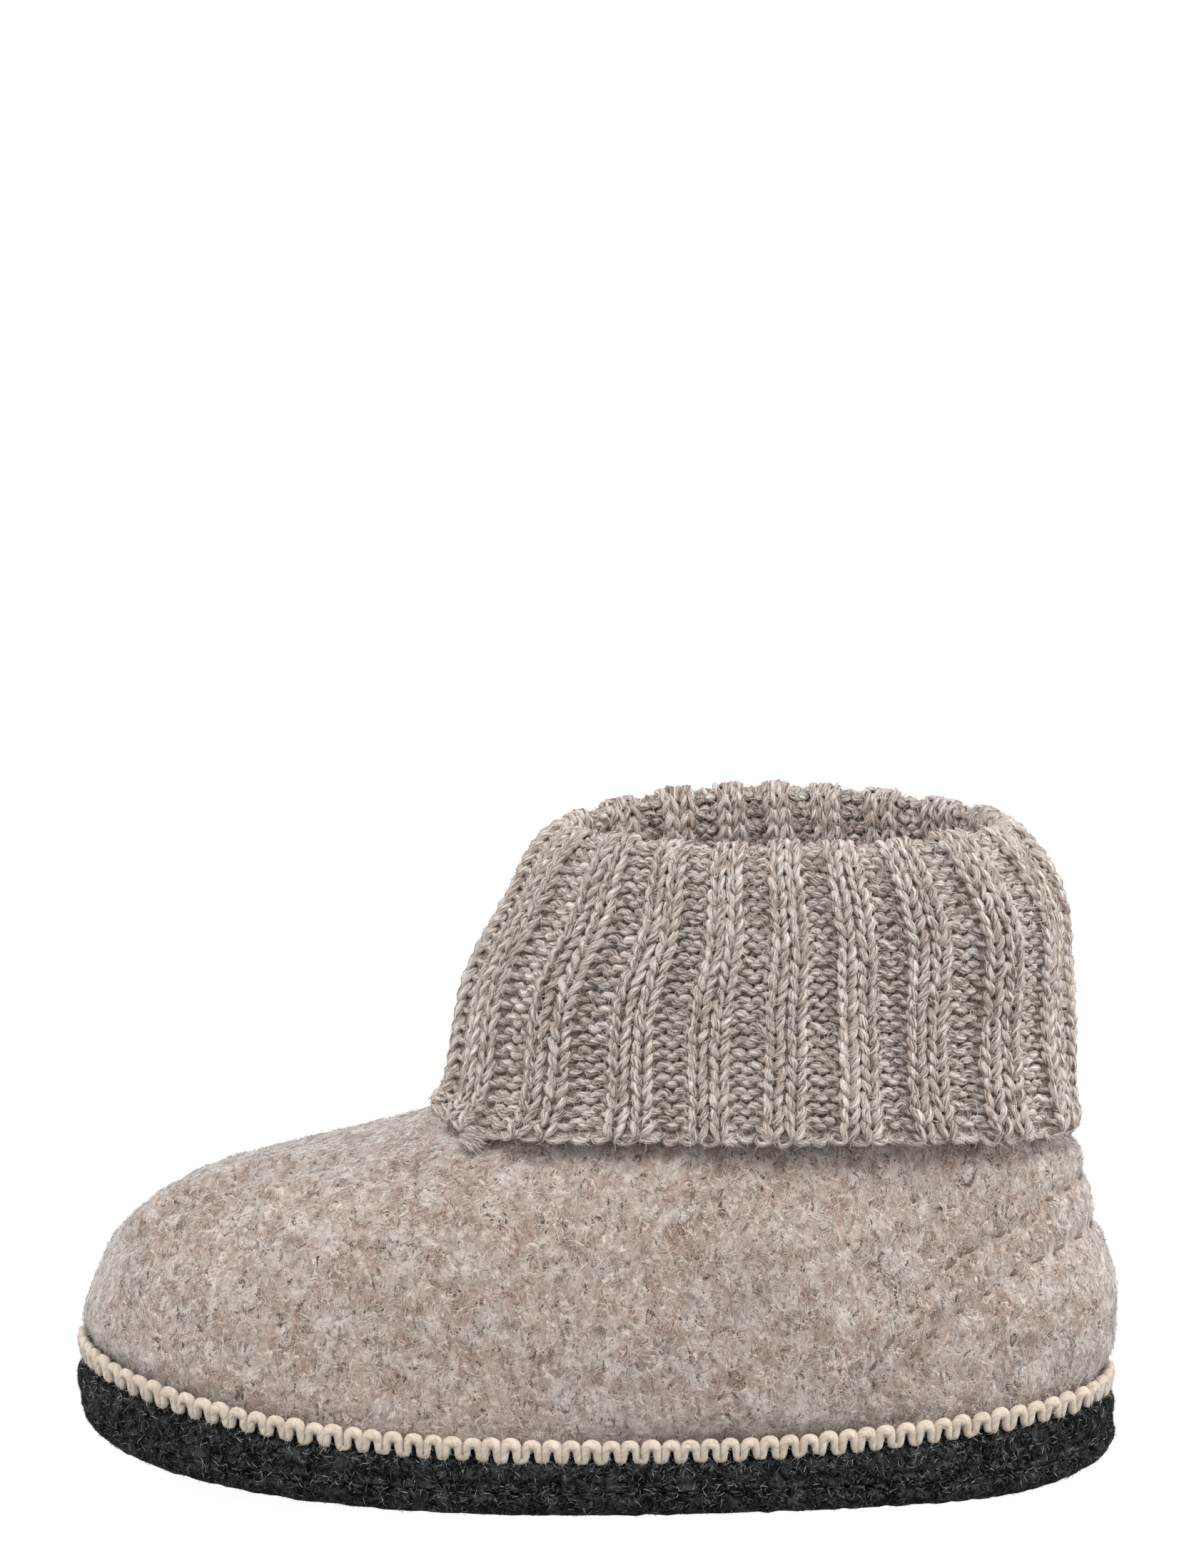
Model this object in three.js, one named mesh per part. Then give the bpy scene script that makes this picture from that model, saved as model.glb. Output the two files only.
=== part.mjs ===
import * as THREE from 'three';

// A wool slipper for the left foot: boiled-wool upper, turned-down rib-knit cuff, two-layer felt sole.
// Millimetres, +Z up, toe towards -X, outer side of the foot towards -Y, standing on Z = 0.
// "along" is always the distance from the back of the heel towards the toe.

// Driving sizes
const LENGTH = 264;
const FELT_WALL = 3.6;
const KNIT_WALL = 4;
const RIB_COUNT = 20;
const RIB_RELIEF = 1;
const OUTSOLE_HEIGHT = 6.2;
const INSOLE_HEIGHT = 4;
const INSOLE_ROUNDING = 0.9;
const FITTING_GAP = 0.3;
const COLLAR_HEIGHT = 104;

// Sole line: the seam between sole and upper sags from heel to waist and climbs to the toe.
const SEAM_LOW = 17;
const SEAM_HEEL_RISE = 7.5;
const SEAM_HEEL_END = 115;
const SEAM_TOE_RISE = 14.5;
const SEAM_TOE_START = 125;
const SEAM_TOE_POWER = 2.3;
const TOE_SPRING = 9;
const TOE_SPRING_START = 140;
const HEEL_LIFT = 5;
const HEEL_LIFT_END = 42;

// Half widths of the sole before its two ends are rounded off.
const SOLE_WIDTHS = [
  { along: 0, outer: 62, inner: 62 },
  { along: 36, outer: 51.5, inner: 51 },
  { along: 92, outer: 49, inner: 38.5 },
  { along: 165, outer: 51, inner: 51 },
  { along: 215, outer: 58.5, inner: 57 },
  { along: LENGTH, outer: 70, inner: 66 },
];
const TOE_SWING = 8;
const TOE_SWING_START = 130;

// Rounding of the sole's lower edge: how far it turns in and how high it reaches.
const EDGE_ROUNDING = [
  { along: 0, turnIn: 5, height: 6.5 },
  { along: 40, turnIn: 5, height: 5.5 },
  { along: 180, turnIn: 5, height: 5.5 },
  { along: 235, turnIn: 6, height: 7 },
  { along: LENGTH, turnIn: 8, height: 12 },
];

// Side of the midsole from its lower edge to the seam, with the groove that its lock stitch lies in.
const MIDSOLE_SIDE = [
  { up: 0, inset: 1.3 },
  { up: 0.08, inset: 0.4 },
  { up: 0.2, inset: 1.1 },
  { up: 0.34, inset: 0.4 },
  { up: 0.6, inset: 0.7 },
  { up: 0.7, inset: 2 },
  { up: 0.78, inset: 3.5 },
  { up: 1, inset: 4.2 },
];
const OUTSOLE_TOP_INSET = 1.1;
const OUTSOLE_SHOULDER_DROP = 1.3;
const OUTSOLE_EDGE_STEPS = 5;
const SEAM_INSET = 4.2;

// Upper: each row is one level of the wall from seam to collar, towards the toe, a side or the heel.
// reach runs from 0 above the collar to 1 above the seam, rise from 0 at the seam to 1 at the collar,
// and swell is how far the sides stand out, in millimetres.
const ANKLE_ALONG = 89.5;
const COLLAR_BACK = 20;
const COLLAR_FRONT = 161;
const COLLAR_HALF_WIDTH = 36;
const TOE_PROFILE = [
  { reach: 1, rise: 0 },
  { reach: 1.004, rise: 0.035 },
  { reach: 1.024, rise: 0.1 },
  { reach: 0.99, rise: 0.245 },
  { reach: 0.937, rise: 0.372 },
  { reach: 0.85, rise: 0.492 },
  { reach: 0.715, rise: 0.603 },
  { reach: 0.538, rise: 0.684 },
  { reach: 0.34, rise: 0.753 },
  { reach: 0.16, rise: 0.82 },
  { reach: 0.05, rise: 0.891 },
  { reach: 0, rise: 1 },
];
const SIDE_PROFILE = [
  { reach: 1, rise: 0, swell: 0 },
  { reach: 1, rise: 0.03, swell: 0.8 },
  { reach: 1, rise: 0.09, swell: 4 },
  { reach: 1, rise: 0.2, swell: 5.2 },
  { reach: 0.97, rise: 0.32, swell: 5.6 },
  { reach: 0.94, rise: 0.43, swell: 5.6 },
  { reach: 0.9, rise: 0.54, swell: 5.4 },
  { reach: 0.8, rise: 0.64, swell: 5 },
  { reach: 0.62, rise: 0.74, swell: 4.2 },
  { reach: 0.42, rise: 0.83, swell: 3 },
  { reach: 0.16, rise: 0.92, swell: 1.6 },
  { reach: 0, rise: 1, swell: 0 },
];
const HEEL_PROFILE = [
  { reach: 1, rise: 0 },
  { reach: 1.03, rise: 0.035 },
  { reach: 1.21, rise: 0.1 },
  { reach: 1.28, rise: 0.24 },
  { reach: 1.24, rise: 0.33 },
  { reach: 1.13, rise: 0.4 },
  { reach: 1, rise: 0.465 },
  { reach: 0.87, rise: 0.54 },
  { reach: 0.75, rise: 0.65 },
  { reach: 0.64, rise: 0.75 },
  { reach: 0.3, rise: 0.825 },
  { reach: 0, rise: 1 },
];
const TOE_SECTOR = { from: 0.45, to: 1 };
const HEEL_SECTOR = { from: 0.3, to: 1 };

// Cuff: each row is one level of the knit's middle, from the collar up, over the fold and down to the hem.
// sag is how much lower it hangs halfway between its front and its sides.
const CUFF_LEVELS = [
  { back: 21.8, front: 159.2, half: 34.2, zBack: 104.6, zSide: 104.6, zFront: 104.9, sag: 0 },
  { back: 22, front: 154, half: 33.5, zBack: 130, zSide: 130, zFront: 130, sag: 0 },
  { back: 24.5, front: 146, half: 32, zBack: 152, zSide: 153, zFront: 151.5, sag: 0 },
  { back: 30.5, front: 140, half: 33, zBack: 165, zSide: 168, zFront: 164.5, sag: 0 },
  { back: 23.5, front: 146.5, half: 38, zBack: 160, zSide: 162, zFront: 159.5, sag: 0 },
  { back: 16.2, front: 153, half: 40, zBack: 145.5, zSide: 146, zFront: 145, sag: 0 },
  { back: 14.2, front: 162.2, half: 42, zBack: 127, zSide: 127, zFront: 127, sag: 0 },
  { back: 13.3, front: 166.2, half: 44.4, zBack: 102.5, zSide: 106.5, zFront: 105, sag: 1 },
  { back: 10.4, front: 173, half: 45.7, zBack: 88.8, zSide: 94, zFront: 96.4, sag: 3 },
];
const CUFF_STEPS = 13;
const POINTS_PER_RIB = 5;

// Overcast stitch in the valley between sole and upper.
const STITCH_HALF_HEIGHT = 2.3;
const STITCH_HALF_DEPTH = 1.2;
const STITCH_INSET = 2.2;
const STITCH_SIDES = 6;

const STATIONS = 64;
const heelX = LENGTH / 2;

// Reads one column of a table at a given place, as a smooth curve through its rows.
function readColumn(rows, key, column, at) {
  let row = 0;
  while (row < rows.length - 2 && at > rows[row + 1][key]) row += 1;
  const slopeAt = (i) => {
    const before = rows[Math.max(i - 1, 0)];
    const after = rows[Math.min(i + 1, rows.length - 1)];
    return (after[column] - before[column]) / (after[key] - before[key]);
  };
  const start = rows[row];
  const end = rows[row + 1];
  const span = end[key] - start[key];
  const u = THREE.MathUtils.clamp((at - start[key]) / span, 0, 1);
  const lift = u * u * (3 - 2 * u);
  const leave = u * (1 - u) * (1 - u) * span * slopeAt(row);
  const arrive = u * u * (u - 1) * span * slopeAt(row + 1);
  return start[column] * (1 - lift) + end[column] * lift + leave + arrive;
}

// Tables whose rows are evenly spaced levels are read by level number.
function numbered(rows) {
  return rows.map((row, level) => ({ ...row, level }));
}

const place = (along, across, height) => new THREE.Vector3(heelX - along, across, height);

// Height of the seam between sole and upper.
function seamHeight(along) {
  const heel = Math.max(0, 1 - along / SEAM_HEEL_END) ** 2 * SEAM_HEEL_RISE;
  const toe = Math.max(0, (along - SEAM_TOE_START) / (LENGTH - SEAM_TOE_START)) ** SEAM_TOE_POWER;
  return SEAM_LOW + heel + toe * SEAM_TOE_RISE;
}

// Height of the sole's underside: flat under heel and ball, sprung at the toe.
function undersideHeight(along) {
  const toe = Math.max(0, (along - TOE_SPRING_START) / (LENGTH - TOE_SPRING_START)) ** 2;
  const heel = Math.max(0, 1 - along / HEEL_LIFT_END) ** 2;
  return toe * TOE_SPRING + heel * HEEL_LIFT;
}

// Outline of the sole in plan: turn goes from the heel along the outer side to the toe and back inside.
function solePoint(turn) {
  const along = (1 - Math.cos(turn)) * LENGTH / 2;
  const column = Math.sin(turn) >= 0 ? 'outer' : 'inner';
  const swing = Math.max(0, (along - TOE_SWING_START) / (LENGTH - TOE_SWING_START)) ** 2 * TOE_SWING;
  return new THREE.Vector2(along, swing - Math.sin(turn) * readColumn(SOLE_WIDTHS, 'along', column, along));
}

// The same outline moved in by a distance square to itself.
function insetPoint(turn, inset) {
  const step = 0.002;
  const way = solePoint(turn + step).sub(solePoint(turn - step)).normalize();
  return solePoint(turn).add(new THREE.Vector2(-way.y, way.x).multiplyScalar(inset));
}

// A ring of stations around the sole; height is worked out from each point's own place.
function soleRing(insetAt, heightAt) {
  const ring = [];
  for (let i = 0; i < STATIONS; i += 1) {
    const turn = i / STATIONS * Math.PI * 2;
    const along = solePoint(turn).x;
    const point = insetPoint(turn, insetAt(along));
    ring.push(place(point.x, point.y, heightAt(along)));
  }
  return ring;
}

// Skin through rings of equal length: a loop of rings makes a hollow tube, otherwise both ends are closed
// by strips that run across from the outer to the inner side.
function skin(rings, isLoop) {
  const count = rings[0].length;
  const index = [];
  const spans = isLoop ? rings.length : rings.length - 1;
  for (let r = 0; r < spans; r += 1) {
    const low = r * count;
    const high = (r + 1) % rings.length * count;
    for (let i = 0; i < count; i += 1) {
      const next = (i + 1) % count;
      index.push(low + i, high + next, low + next, low + i, high + i, high + next);
    }
  }
  if (!isLoop) {
    const top = (rings.length - 1) * count;
    for (let i = 0; i < count / 2; i += 1) {
      const mirror = (count - i) % count;
      const nextMirror = count - i - 1;
      if (i > 0) {
        index.push(i, i + 1, mirror, top + i, top + mirror, top + i + 1);
      }
      if (i < count / 2 - 1) {
        index.push(i + 1, nextMirror, mirror, top + i + 1, top + mirror, top + nextMirror);
      }
    }
  }
  const geometry = new THREE.BufferGeometry().setFromPoints(rings.flat());
  geometry.setIndex(index);
  geometry.computeVertexNormals();
  return geometry;
}

// How far the sole's side stands inside its outline at a height above the underside.
function edgeInset(along, height) {
  const turnIn = readColumn(EDGE_ROUNDING, 'along', 'turnIn', along);
  const reach = readColumn(EDGE_ROUNDING, 'along', 'height', along);
  const share = THREE.MathUtils.clamp(1 - height / reach, 0, 1);
  return turnIn * (1 - Math.sqrt(1 - share * share));
}

function outsole() {
  const rings = [];
  const shoulder = OUTSOLE_HEIGHT - OUTSOLE_SHOULDER_DROP;
  for (let step = 0; step <= OUTSOLE_EDGE_STEPS; step += 1) {
    const height = shoulder * (1 - Math.cos(step / OUTSOLE_EDGE_STEPS * Math.PI / 2));
    rings.push(soleRing(
      (along) => edgeInset(along, height),
      (along) => undersideHeight(along) + height,
    ));
  }
  rings.push(soleRing(
    (along) => edgeInset(along, OUTSOLE_HEIGHT) + OUTSOLE_TOP_INSET,
    (along) => undersideHeight(along) + OUTSOLE_HEIGHT,
  ));
  return skin(rings, false);
}

function midsole() {
  const rings = MIDSOLE_SIDE.map((row) => {
    const heightAt = (along) => {
      const low = undersideHeight(along) + OUTSOLE_HEIGHT + FITTING_GAP;
      return low + (seamHeight(along) - FITTING_GAP - low) * row.up;
    };
    const insetAt = (along) => row.inset + edgeInset(along, heightAt(along) - undersideHeight(along));
    return soleRing(insetAt, heightAt);
  });
  return skin(rings, false);
}

// A point of the upper's outer face. level counts up the rows of its profiles.
const toeLevels = numbered(TOE_PROFILE);
const sideLevels = numbered(SIDE_PROFILE);
const heelLevels = numbered(HEEL_PROFILE);
const topLevel = toeLevels.length - 1;

function upperPoint(turn, level) {
  const seam = insetPoint(turn, SEAM_INSET);
  const ahead = seam.x - ANKLE_ALONG;
  const seamReach = Math.hypot(ahead, seam.y);
  const cosine = ahead / seamReach;
  const sine = seam.y / seamReach;
  const collarLength = cosine > 0 ? COLLAR_FRONT - ANKLE_ALONG : ANKLE_ALONG - COLLAR_BACK;
  const collarReach = 1 / Math.hypot(cosine / collarLength, sine / COLLAR_HALF_WIDTH);
  const toe = THREE.MathUtils.smoothstep(cosine, TOE_SECTOR.from, TOE_SECTOR.to);
  const heel = THREE.MathUtils.smoothstep(-cosine, HEEL_SECTOR.from, HEEL_SECTOR.to);
  const side = 1 - toe - heel;
  const blend = (column) => toe * readColumn(toeLevels, 'level', column, level)
    + side * readColumn(sideLevels, 'level', column, level)
    + heel * readColumn(heelLevels, 'level', column, level);
  const swell = side * readColumn(sideLevels, 'level', 'swell', level);
  const radius = collarReach + (seamReach - collarReach) * blend('reach') + swell;
  const low = seamHeight(solePoint(turn).x);
  return place(ANKLE_ALONG + radius * cosine, radius * sine, low + (COLLAR_HEIGHT - low) * blend('rise'));
}

// The wall's inner face lies one felt thickness inside, square to the outer face; both rims stay level.
function upperWall(turn, level) {
  const step = 0.01;
  const around = upperPoint(turn + step, level).sub(upperPoint(turn - step, level));
  const lower = Math.max(level - step, 0);
  const upper = Math.min(level + step, topLevel);
  const up = upperPoint(turn, upper).sub(upperPoint(turn, lower));
  const out = up.cross(around).normalize();
  if (level === 0 || level === topLevel) out.setZ(0).normalize();
  return upperPoint(turn, level).addScaledVector(out, -FELT_WALL);
}

function upper() {
  const ringOf = (pointAt, level) => Array.from(
    { length: STATIONS },
    (unused, i) => pointAt(i / STATIONS * Math.PI * 2, level),
  );
  const outside = toeLevels.map((row) => ringOf(upperPoint, row.level));
  const inside = toeLevels.map((row) => ringOf(upperWall, row.level)).reverse();
  return skin([...outside, ...inside], true);
}

function insole() {
  const inset = SEAM_INSET + FELT_WALL + 2 * FITTING_GAP;
  const rings = [
    soleRing(() => inset, seamHeight),
    soleRing(() => inset, (along) => seamHeight(along) + INSOLE_HEIGHT - INSOLE_ROUNDING),
    soleRing(() => inset + INSOLE_ROUNDING, (along) => seamHeight(along) + INSOLE_HEIGHT),
  ];
  return skin(rings, false);
}

// Overcast stitch: a bead with an oval section that fills the valley along the seam.
function edgeStitch() {
  const rings = [];
  for (let side = 0; side < STITCH_SIDES; side += 1) {
    const angle = side / STITCH_SIDES * Math.PI * 2;
    rings.push(soleRing(
      () => STITCH_INSET + STITCH_HALF_DEPTH * Math.cos(angle),
      (along) => seamHeight(along) + STITCH_HALF_HEIGHT * Math.sin(angle),
    ));
  }
  return skin(rings.reverse(), true);
}

// A point of the cuff's middle surface. share goes once around from the front over the outer side.
const cuffLevels = numbered(CUFF_LEVELS);
const hemLevel = cuffLevels.length - 1;

function cuffMiddle(share, level) {
  const read = (column) => readColumn(cuffLevels, 'level', column, level);
  const hem = CUFF_LEVELS[hemLevel];
  const hemLength = (hem.front - hem.back) / 2;
  const evening = (hemLength - hem.half) / (hemLength + hem.half) / 2;
  const angle = share * Math.PI * 2 + evening * Math.sin(share * Math.PI * 4);
  const front = Math.max(0, Math.cos(angle)) ** 2;
  const back = Math.max(0, -Math.cos(angle)) ** 2;
  const along = (read('front') + read('back')) / 2 + (read('front') - read('back')) / 2 * Math.cos(angle);
  const evenHeight = front * read('zFront') + back * read('zBack') + (1 - front - back) * read('zSide');
  const height = evenHeight - read('sag') * 4 * front * (1 - front);
  return place(along, -read('half') * Math.sin(angle), height);
}

// Either face of the knit: half a wall from the middle, with two wales forward and two back in each rib.
function cuffFace(share, level, face) {
  const step = 0.002;
  const around = cuffMiddle(share + step, level).sub(cuffMiddle(share - step, level));
  const before = cuffMiddle(share, Math.max(level - step, 0));
  const after = cuffMiddle(share, Math.min(level + step, hemLevel));
  const out = after.sub(before).cross(around).normalize();
  const wave = Math.cos(share * RIB_COUNT * Math.PI * 2);
  const relief = RIB_RELIEF * Math.sign(wave) * Math.sqrt(Math.abs(wave));
  return cuffMiddle(share, level).addScaledVector(out, face * KNIT_WALL / 2 + relief);
}

function cuff() {
  const count = RIB_COUNT * POINTS_PER_RIB;
  const ringOf = (level, face) => Array.from(
    { length: count },
    (unused, i) => cuffFace(i / count, level, face),
  );
  const levels = Array.from({ length: CUFF_STEPS + 1 }, (unused, i) => i / CUFF_STEPS * hemLevel);
  const outside = levels.map((level) => ringOf(level, 1));
  const inside = levels.map((level) => ringOf(level, -1)).reverse();
  return skin([...outside, ...inside], true);
}

const charcoalFelt = { color: 0x2b2c2d, roughness: 0.95, metalness: 0 };
const boiledWool = { color: 0xac9e95, roughness: 0.95, metalness: 0 };
const greyTaupeKnit = { color: 0xa39890, roughness: 0.95, metalness: 0 };
const creamYarn = { color: 0xbeb2a5, roughness: 0.9, metalness: 0 };
const greyFelt = { color: 0x8f8780, roughness: 0.95, metalness: 0 };

const slipper = new THREE.Group();

function addPiece(name, geometry, finish) {
  const mesh = new THREE.Mesh(geometry, new THREE.MeshStandardMaterial(finish));
  mesh.name = name;
  slipper.add(mesh);
}

addPiece('outsole', outsole(), charcoalFelt);
addPiece('midsole', midsole(), charcoalFelt);
addPiece('insole', insole(), greyFelt);
addPiece('upper', upper(), boiledWool);
addPiece('cuff', cuff(), greyTaupeKnit);
addPiece('edge_stitch', edgeStitch(), creamYarn);

export default slipper;
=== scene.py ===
import math

import bpy
import numpy as np
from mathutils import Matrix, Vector


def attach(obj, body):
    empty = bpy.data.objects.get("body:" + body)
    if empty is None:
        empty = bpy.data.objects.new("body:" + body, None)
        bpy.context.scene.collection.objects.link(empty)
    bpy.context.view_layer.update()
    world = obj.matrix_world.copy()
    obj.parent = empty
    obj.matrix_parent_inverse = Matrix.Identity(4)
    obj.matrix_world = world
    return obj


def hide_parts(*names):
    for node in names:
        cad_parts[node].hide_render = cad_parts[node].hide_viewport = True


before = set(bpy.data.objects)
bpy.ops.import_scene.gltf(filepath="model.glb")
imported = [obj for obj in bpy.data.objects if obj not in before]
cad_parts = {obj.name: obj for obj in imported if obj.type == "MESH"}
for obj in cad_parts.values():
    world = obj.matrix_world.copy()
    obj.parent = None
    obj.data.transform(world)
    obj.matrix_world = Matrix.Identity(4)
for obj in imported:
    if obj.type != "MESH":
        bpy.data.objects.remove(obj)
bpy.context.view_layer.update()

# Outsole: a slab of pressed charcoal wool felt, flat under heel and ball and sprung at the toe.
# Its lower edge is trimmed round. All sizes are millimetres, as in the solids, until a mesh is made.
# "along" runs from the back of the heel to the toe, "turn" once around from the heel over the outer side.
MM = 0.001
FULL_TURN = 2 * math.pi
LENGTH = 264
HEEL_X = LENGTH / 2
SOLE_STATIONS = 320
SOLE_WIDTHS = {
    "along": (0, 36, 92, 165, 215, LENGTH),
    "outer": (62, 51.5, 49, 51, 58.5, 70),
    "inner": (62, 51, 38.5, 51, 57, 66),
}
TOE_SWING = 8
TOE_SWING_START = 130
EDGE_ROUNDING = {
    "along": (0, 40, 180, 235, LENGTH),
    "turn_in": (5, 5, 5, 6, 8),
    "height": (6.5, 5.5, 5.5, 7, 12),
}
TOE_SPRING = 9
TOE_SPRING_START = 140
HEEL_LIFT = 5
HEEL_LIFT_END = 42
OUTSOLE_HEIGHT = 6.2
OUTSOLE_SHOULDER = 4.9
OUTSOLE_TOP_INSET = 1.1
OUTSOLE_EDGE_STEPS = 10
SHOWN_COLUMNS = 24
HIDDEN_COLUMNS = 2
NOISE_WAVES = 14
FELT_LUMP_SIZE = 5
FELT_LUMP_DEPTH = 0.16
FELT_RELIEF = 0.8
SHEEN_ROUGHNESS = 0.5


def read_column(table, key, column, at):
    """One column of a table at a given place, as a smooth curve through its rows."""
    places = np.array(table[key], float)
    values = np.array(table[column], float)
    at = np.asarray(at, float)
    rows = np.arange(len(places))
    before = np.maximum(rows - 1, 0)
    after = np.minimum(rows + 1, len(places) - 1)
    slopes = (values[after] - values[before]) / (places[after] - places[before])
    row = np.clip(np.searchsorted(places, at) - 1, 0, len(places) - 2)
    span = places[row + 1] - places[row]
    u = np.clip((at - places[row]) / span, 0, 1)
    lift = u * u * (3 - 2 * u)
    leave = u * (1 - u) ** 2 * span * slopes[row]
    arrive = u * u * (u - 1) * span * slopes[row + 1]
    return values[row] * (1 - lift) + values[row + 1] * lift + leave + arrive


def place(along, across, height):
    return np.stack(np.broadcast_arrays(HEEL_X - along, across, height), axis=-1)


def underside_height(along):
    toe = np.maximum(0, (along - TOE_SPRING_START) / (LENGTH - TOE_SPRING_START)) ** 2
    heel = np.maximum(0, 1 - along / HEEL_LIFT_END) ** 2
    return toe * TOE_SPRING + heel * HEEL_LIFT


def sole_point(turn):
    """Outline of the sole in plan, as along and across."""
    along = (1 - np.cos(turn)) * LENGTH / 2
    swing = np.maximum(0, (along - TOE_SWING_START) / (LENGTH - TOE_SWING_START)) ** 2 * TOE_SWING
    outer = read_column(SOLE_WIDTHS, "along", "outer", along)
    inner = read_column(SOLE_WIDTHS, "along", "inner", along)
    width = np.where(np.sin(turn) >= 0, outer, inner)
    return along, swing - np.sin(turn) * width


def inset_point(turn, inset):
    """The same outline moved in by a distance square to itself."""
    step = 0.002
    ahead = np.stack(sole_point(turn + step)) - np.stack(sole_point(turn - step))
    ahead /= np.linalg.norm(ahead, axis=0)
    along, across = sole_point(turn)
    return along - ahead[1] * inset, across + ahead[0] * inset


def edge_inset(along, height):
    """How far the trimmed lower edge stands inside the outline at a height above the underside."""
    turn_in = read_column(EDGE_ROUNDING, "along", "turn_in", along)
    reach = read_column(EDGE_ROUNDING, "along", "height", along)
    share = np.clip(1 - height / reach, 0, 1)
    return turn_in * (1 - np.sqrt(1 - share * share))


def sole_ring(turns, inset_at, height_at):
    along, _ = sole_point(turns)
    point = inset_point(turns, inset_at(along))
    return place(point[0], point[1], height_at(along))


def unit(vectors):
    return vectors / np.maximum(np.linalg.norm(vectors, axis=-1, keepdims=True), 1e-9)


def soft_noise(points, size, seed):
    """Smooth random swelling, mostly from -1 to 1, with humps about one size apart."""
    draw = np.random.default_rng(seed)
    ways = unit(draw.normal(size=(NOISE_WAVES, 3)))
    lengths = draw.uniform(0.7, 1.4, NOISE_WAVES) * size
    phases = draw.uniform(0, FULL_TURN, NOISE_WAVES)
    waves = np.sin(points @ (ways * (FULL_TURN / lengths)[:, None]).T + phases)
    return waves.sum(axis=-1) / math.sqrt(NOISE_WAVES)


def ring_normals(rings):
    """Normals that point out of a stack of closed rings, which run upwards."""
    around = np.roll(rings, -1, axis=1) - np.roll(rings, 1, axis=1)
    up = np.gradient(rings, axis=0)
    return unit(np.cross(up, around))


def ring_faces(row_count, column_count, is_loop=False):
    """Four-sided faces between closed rings; a loop also joins the last ring to the first."""
    spans = row_count if is_loop else row_count - 1
    low, column = np.meshgrid(np.arange(spans), np.arange(column_count), indexing="ij")
    high = (low + 1) % row_count
    after = (column + 1) % column_count
    corners = [low * column_count + column, high * column_count + column]
    corners += [high * column_count + after, low * column_count + after]
    return np.stack(corners, axis=-1).reshape(-1, 4)


def close_cap(points, ring, is_top, columns):
    """Closes a sole ring by rows of faces that run across from the outer to the inner side."""
    half = len(ring) // 2
    share = np.linspace(0, 1, columns + 1)[1:-1, None]
    extra = []
    rows = [[ring[0]] * (columns + 1)]
    for i in range(1, half):
        outer, inner = ring[i], ring[len(ring) - i]
        first = len(points) + len(extra)
        extra.extend(points[outer] * (1 - share) + points[inner] * share)
        rows.append([outer, *range(first, first + columns - 1), inner])
    rows.append([ring[half]] * (columns + 1))
    faces = []
    for row, following in zip(rows, rows[1:]):
        for k in range(columns):
            corners = [row[k], following[k], following[k + 1], row[k + 1]]
            corners = list(dict.fromkeys(corners if is_top else corners[::-1]))
            faces.append(corners)
    return np.concatenate([points, extra]), faces


def add_lumps(rings, seed, rows):
    """Small unevenness of pressed felt on the given rows of a slab."""
    lumps = ring_normals(rings) * soft_noise(rings, FELT_LUMP_SIZE, seed)[..., None] * FELT_LUMP_DEPTH
    rings[rows] += lumps[rows]


def add_object(name, data):
    """Puts new data into the scene as an object."""
    added = bpy.data.objects.new(name, data)
    bpy.context.scene.collection.objects.link(added)
    return added


def make_piece(name, points, faces, material):
    """A smooth mesh from millimetre points that rides on the one body of the slipper."""
    mesh = bpy.data.meshes.new(name)
    mesh.from_pydata((np.asarray(points) * MM).tolist(), [], [list(map(int, face)) for face in faces])
    mesh.polygons.foreach_set("use_smooth", [True] * len(mesh.polygons))
    mesh.materials.append(material)
    mesh.validate()
    piece = add_object(name, mesh)
    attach(piece, "root")
    return piece


def make_slab(name, rings, low_columns, top_columns, material):
    """A closed slab from rings that run upwards, with its underside and its top filled in."""
    first_ring = np.arange(SOLE_STATIONS)
    last_ring = first_ring + SOLE_STATIONS * (len(rings) - 1)
    points, low_faces = close_cap(rings.reshape(-1, 3), first_ring, False, low_columns)
    points, top_faces = close_cap(points, last_ring, True, top_columns)
    faces = [*ring_faces(len(rings), SOLE_STATIONS), *low_faces, *top_faces]
    return make_piece(name, points, faces, material)


def add_node(tree, kind, inputs=None, **settings):
    """A shader node; each input is a plain value or the output that feeds it."""
    node = tree.nodes.new(kind)
    for setting, value in settings.items():
        setattr(node, setting, value)
    for socket, value in (inputs or {}).items():
        if isinstance(value, bpy.types.NodeSocket):
            tree.links.new(value, node.inputs[socket])
        else:
            node.inputs[socket].default_value = value
    return node


def work(tree, operation, *values):
    """One step of arithmetic on values that change over the surface."""
    return add_node(tree, "ShaderNodeMath", dict(enumerate(values)), operation=operation).outputs[0]


def shift(tree, spots, operation, amount):
    return add_node(tree, "ShaderNodeVectorMath", {0: spots, 1: amount}, operation=operation).outputs[0]


def noise(tree, spots, scale, detail, **inputs):
    inputs = {"Vector": spots, "Scale": scale, "Detail": detail} | inputs
    return add_node(tree, "ShaderNodeTexNoise", inputs).outputs["Fac"]


def mix_colours(tree, share, first, second):
    inputs = {0: share, 6: first, 7: second}
    return add_node(tree, "ShaderNodeMix", inputs, data_type="RGBA").outputs[2]


def stretch(tree, value, low, high):
    """Spreads the values between low and high over 0 to 1."""
    inputs = {"Value": value, "From Min": low, "From Max": high}
    return add_node(tree, "ShaderNodeMapRange", inputs).outputs["Result"]


def dyed(red, green, blue):
    """A colour read on a screen, from 0 to 255, as the light it stands for."""
    screen = np.array([red, green, blue]) / 255
    light = np.where(screen <= 0.04045, screen / 12.92, ((screen + 0.055) / 1.055) ** 2.4)
    return (*light.tolist(), 1.0)


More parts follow.
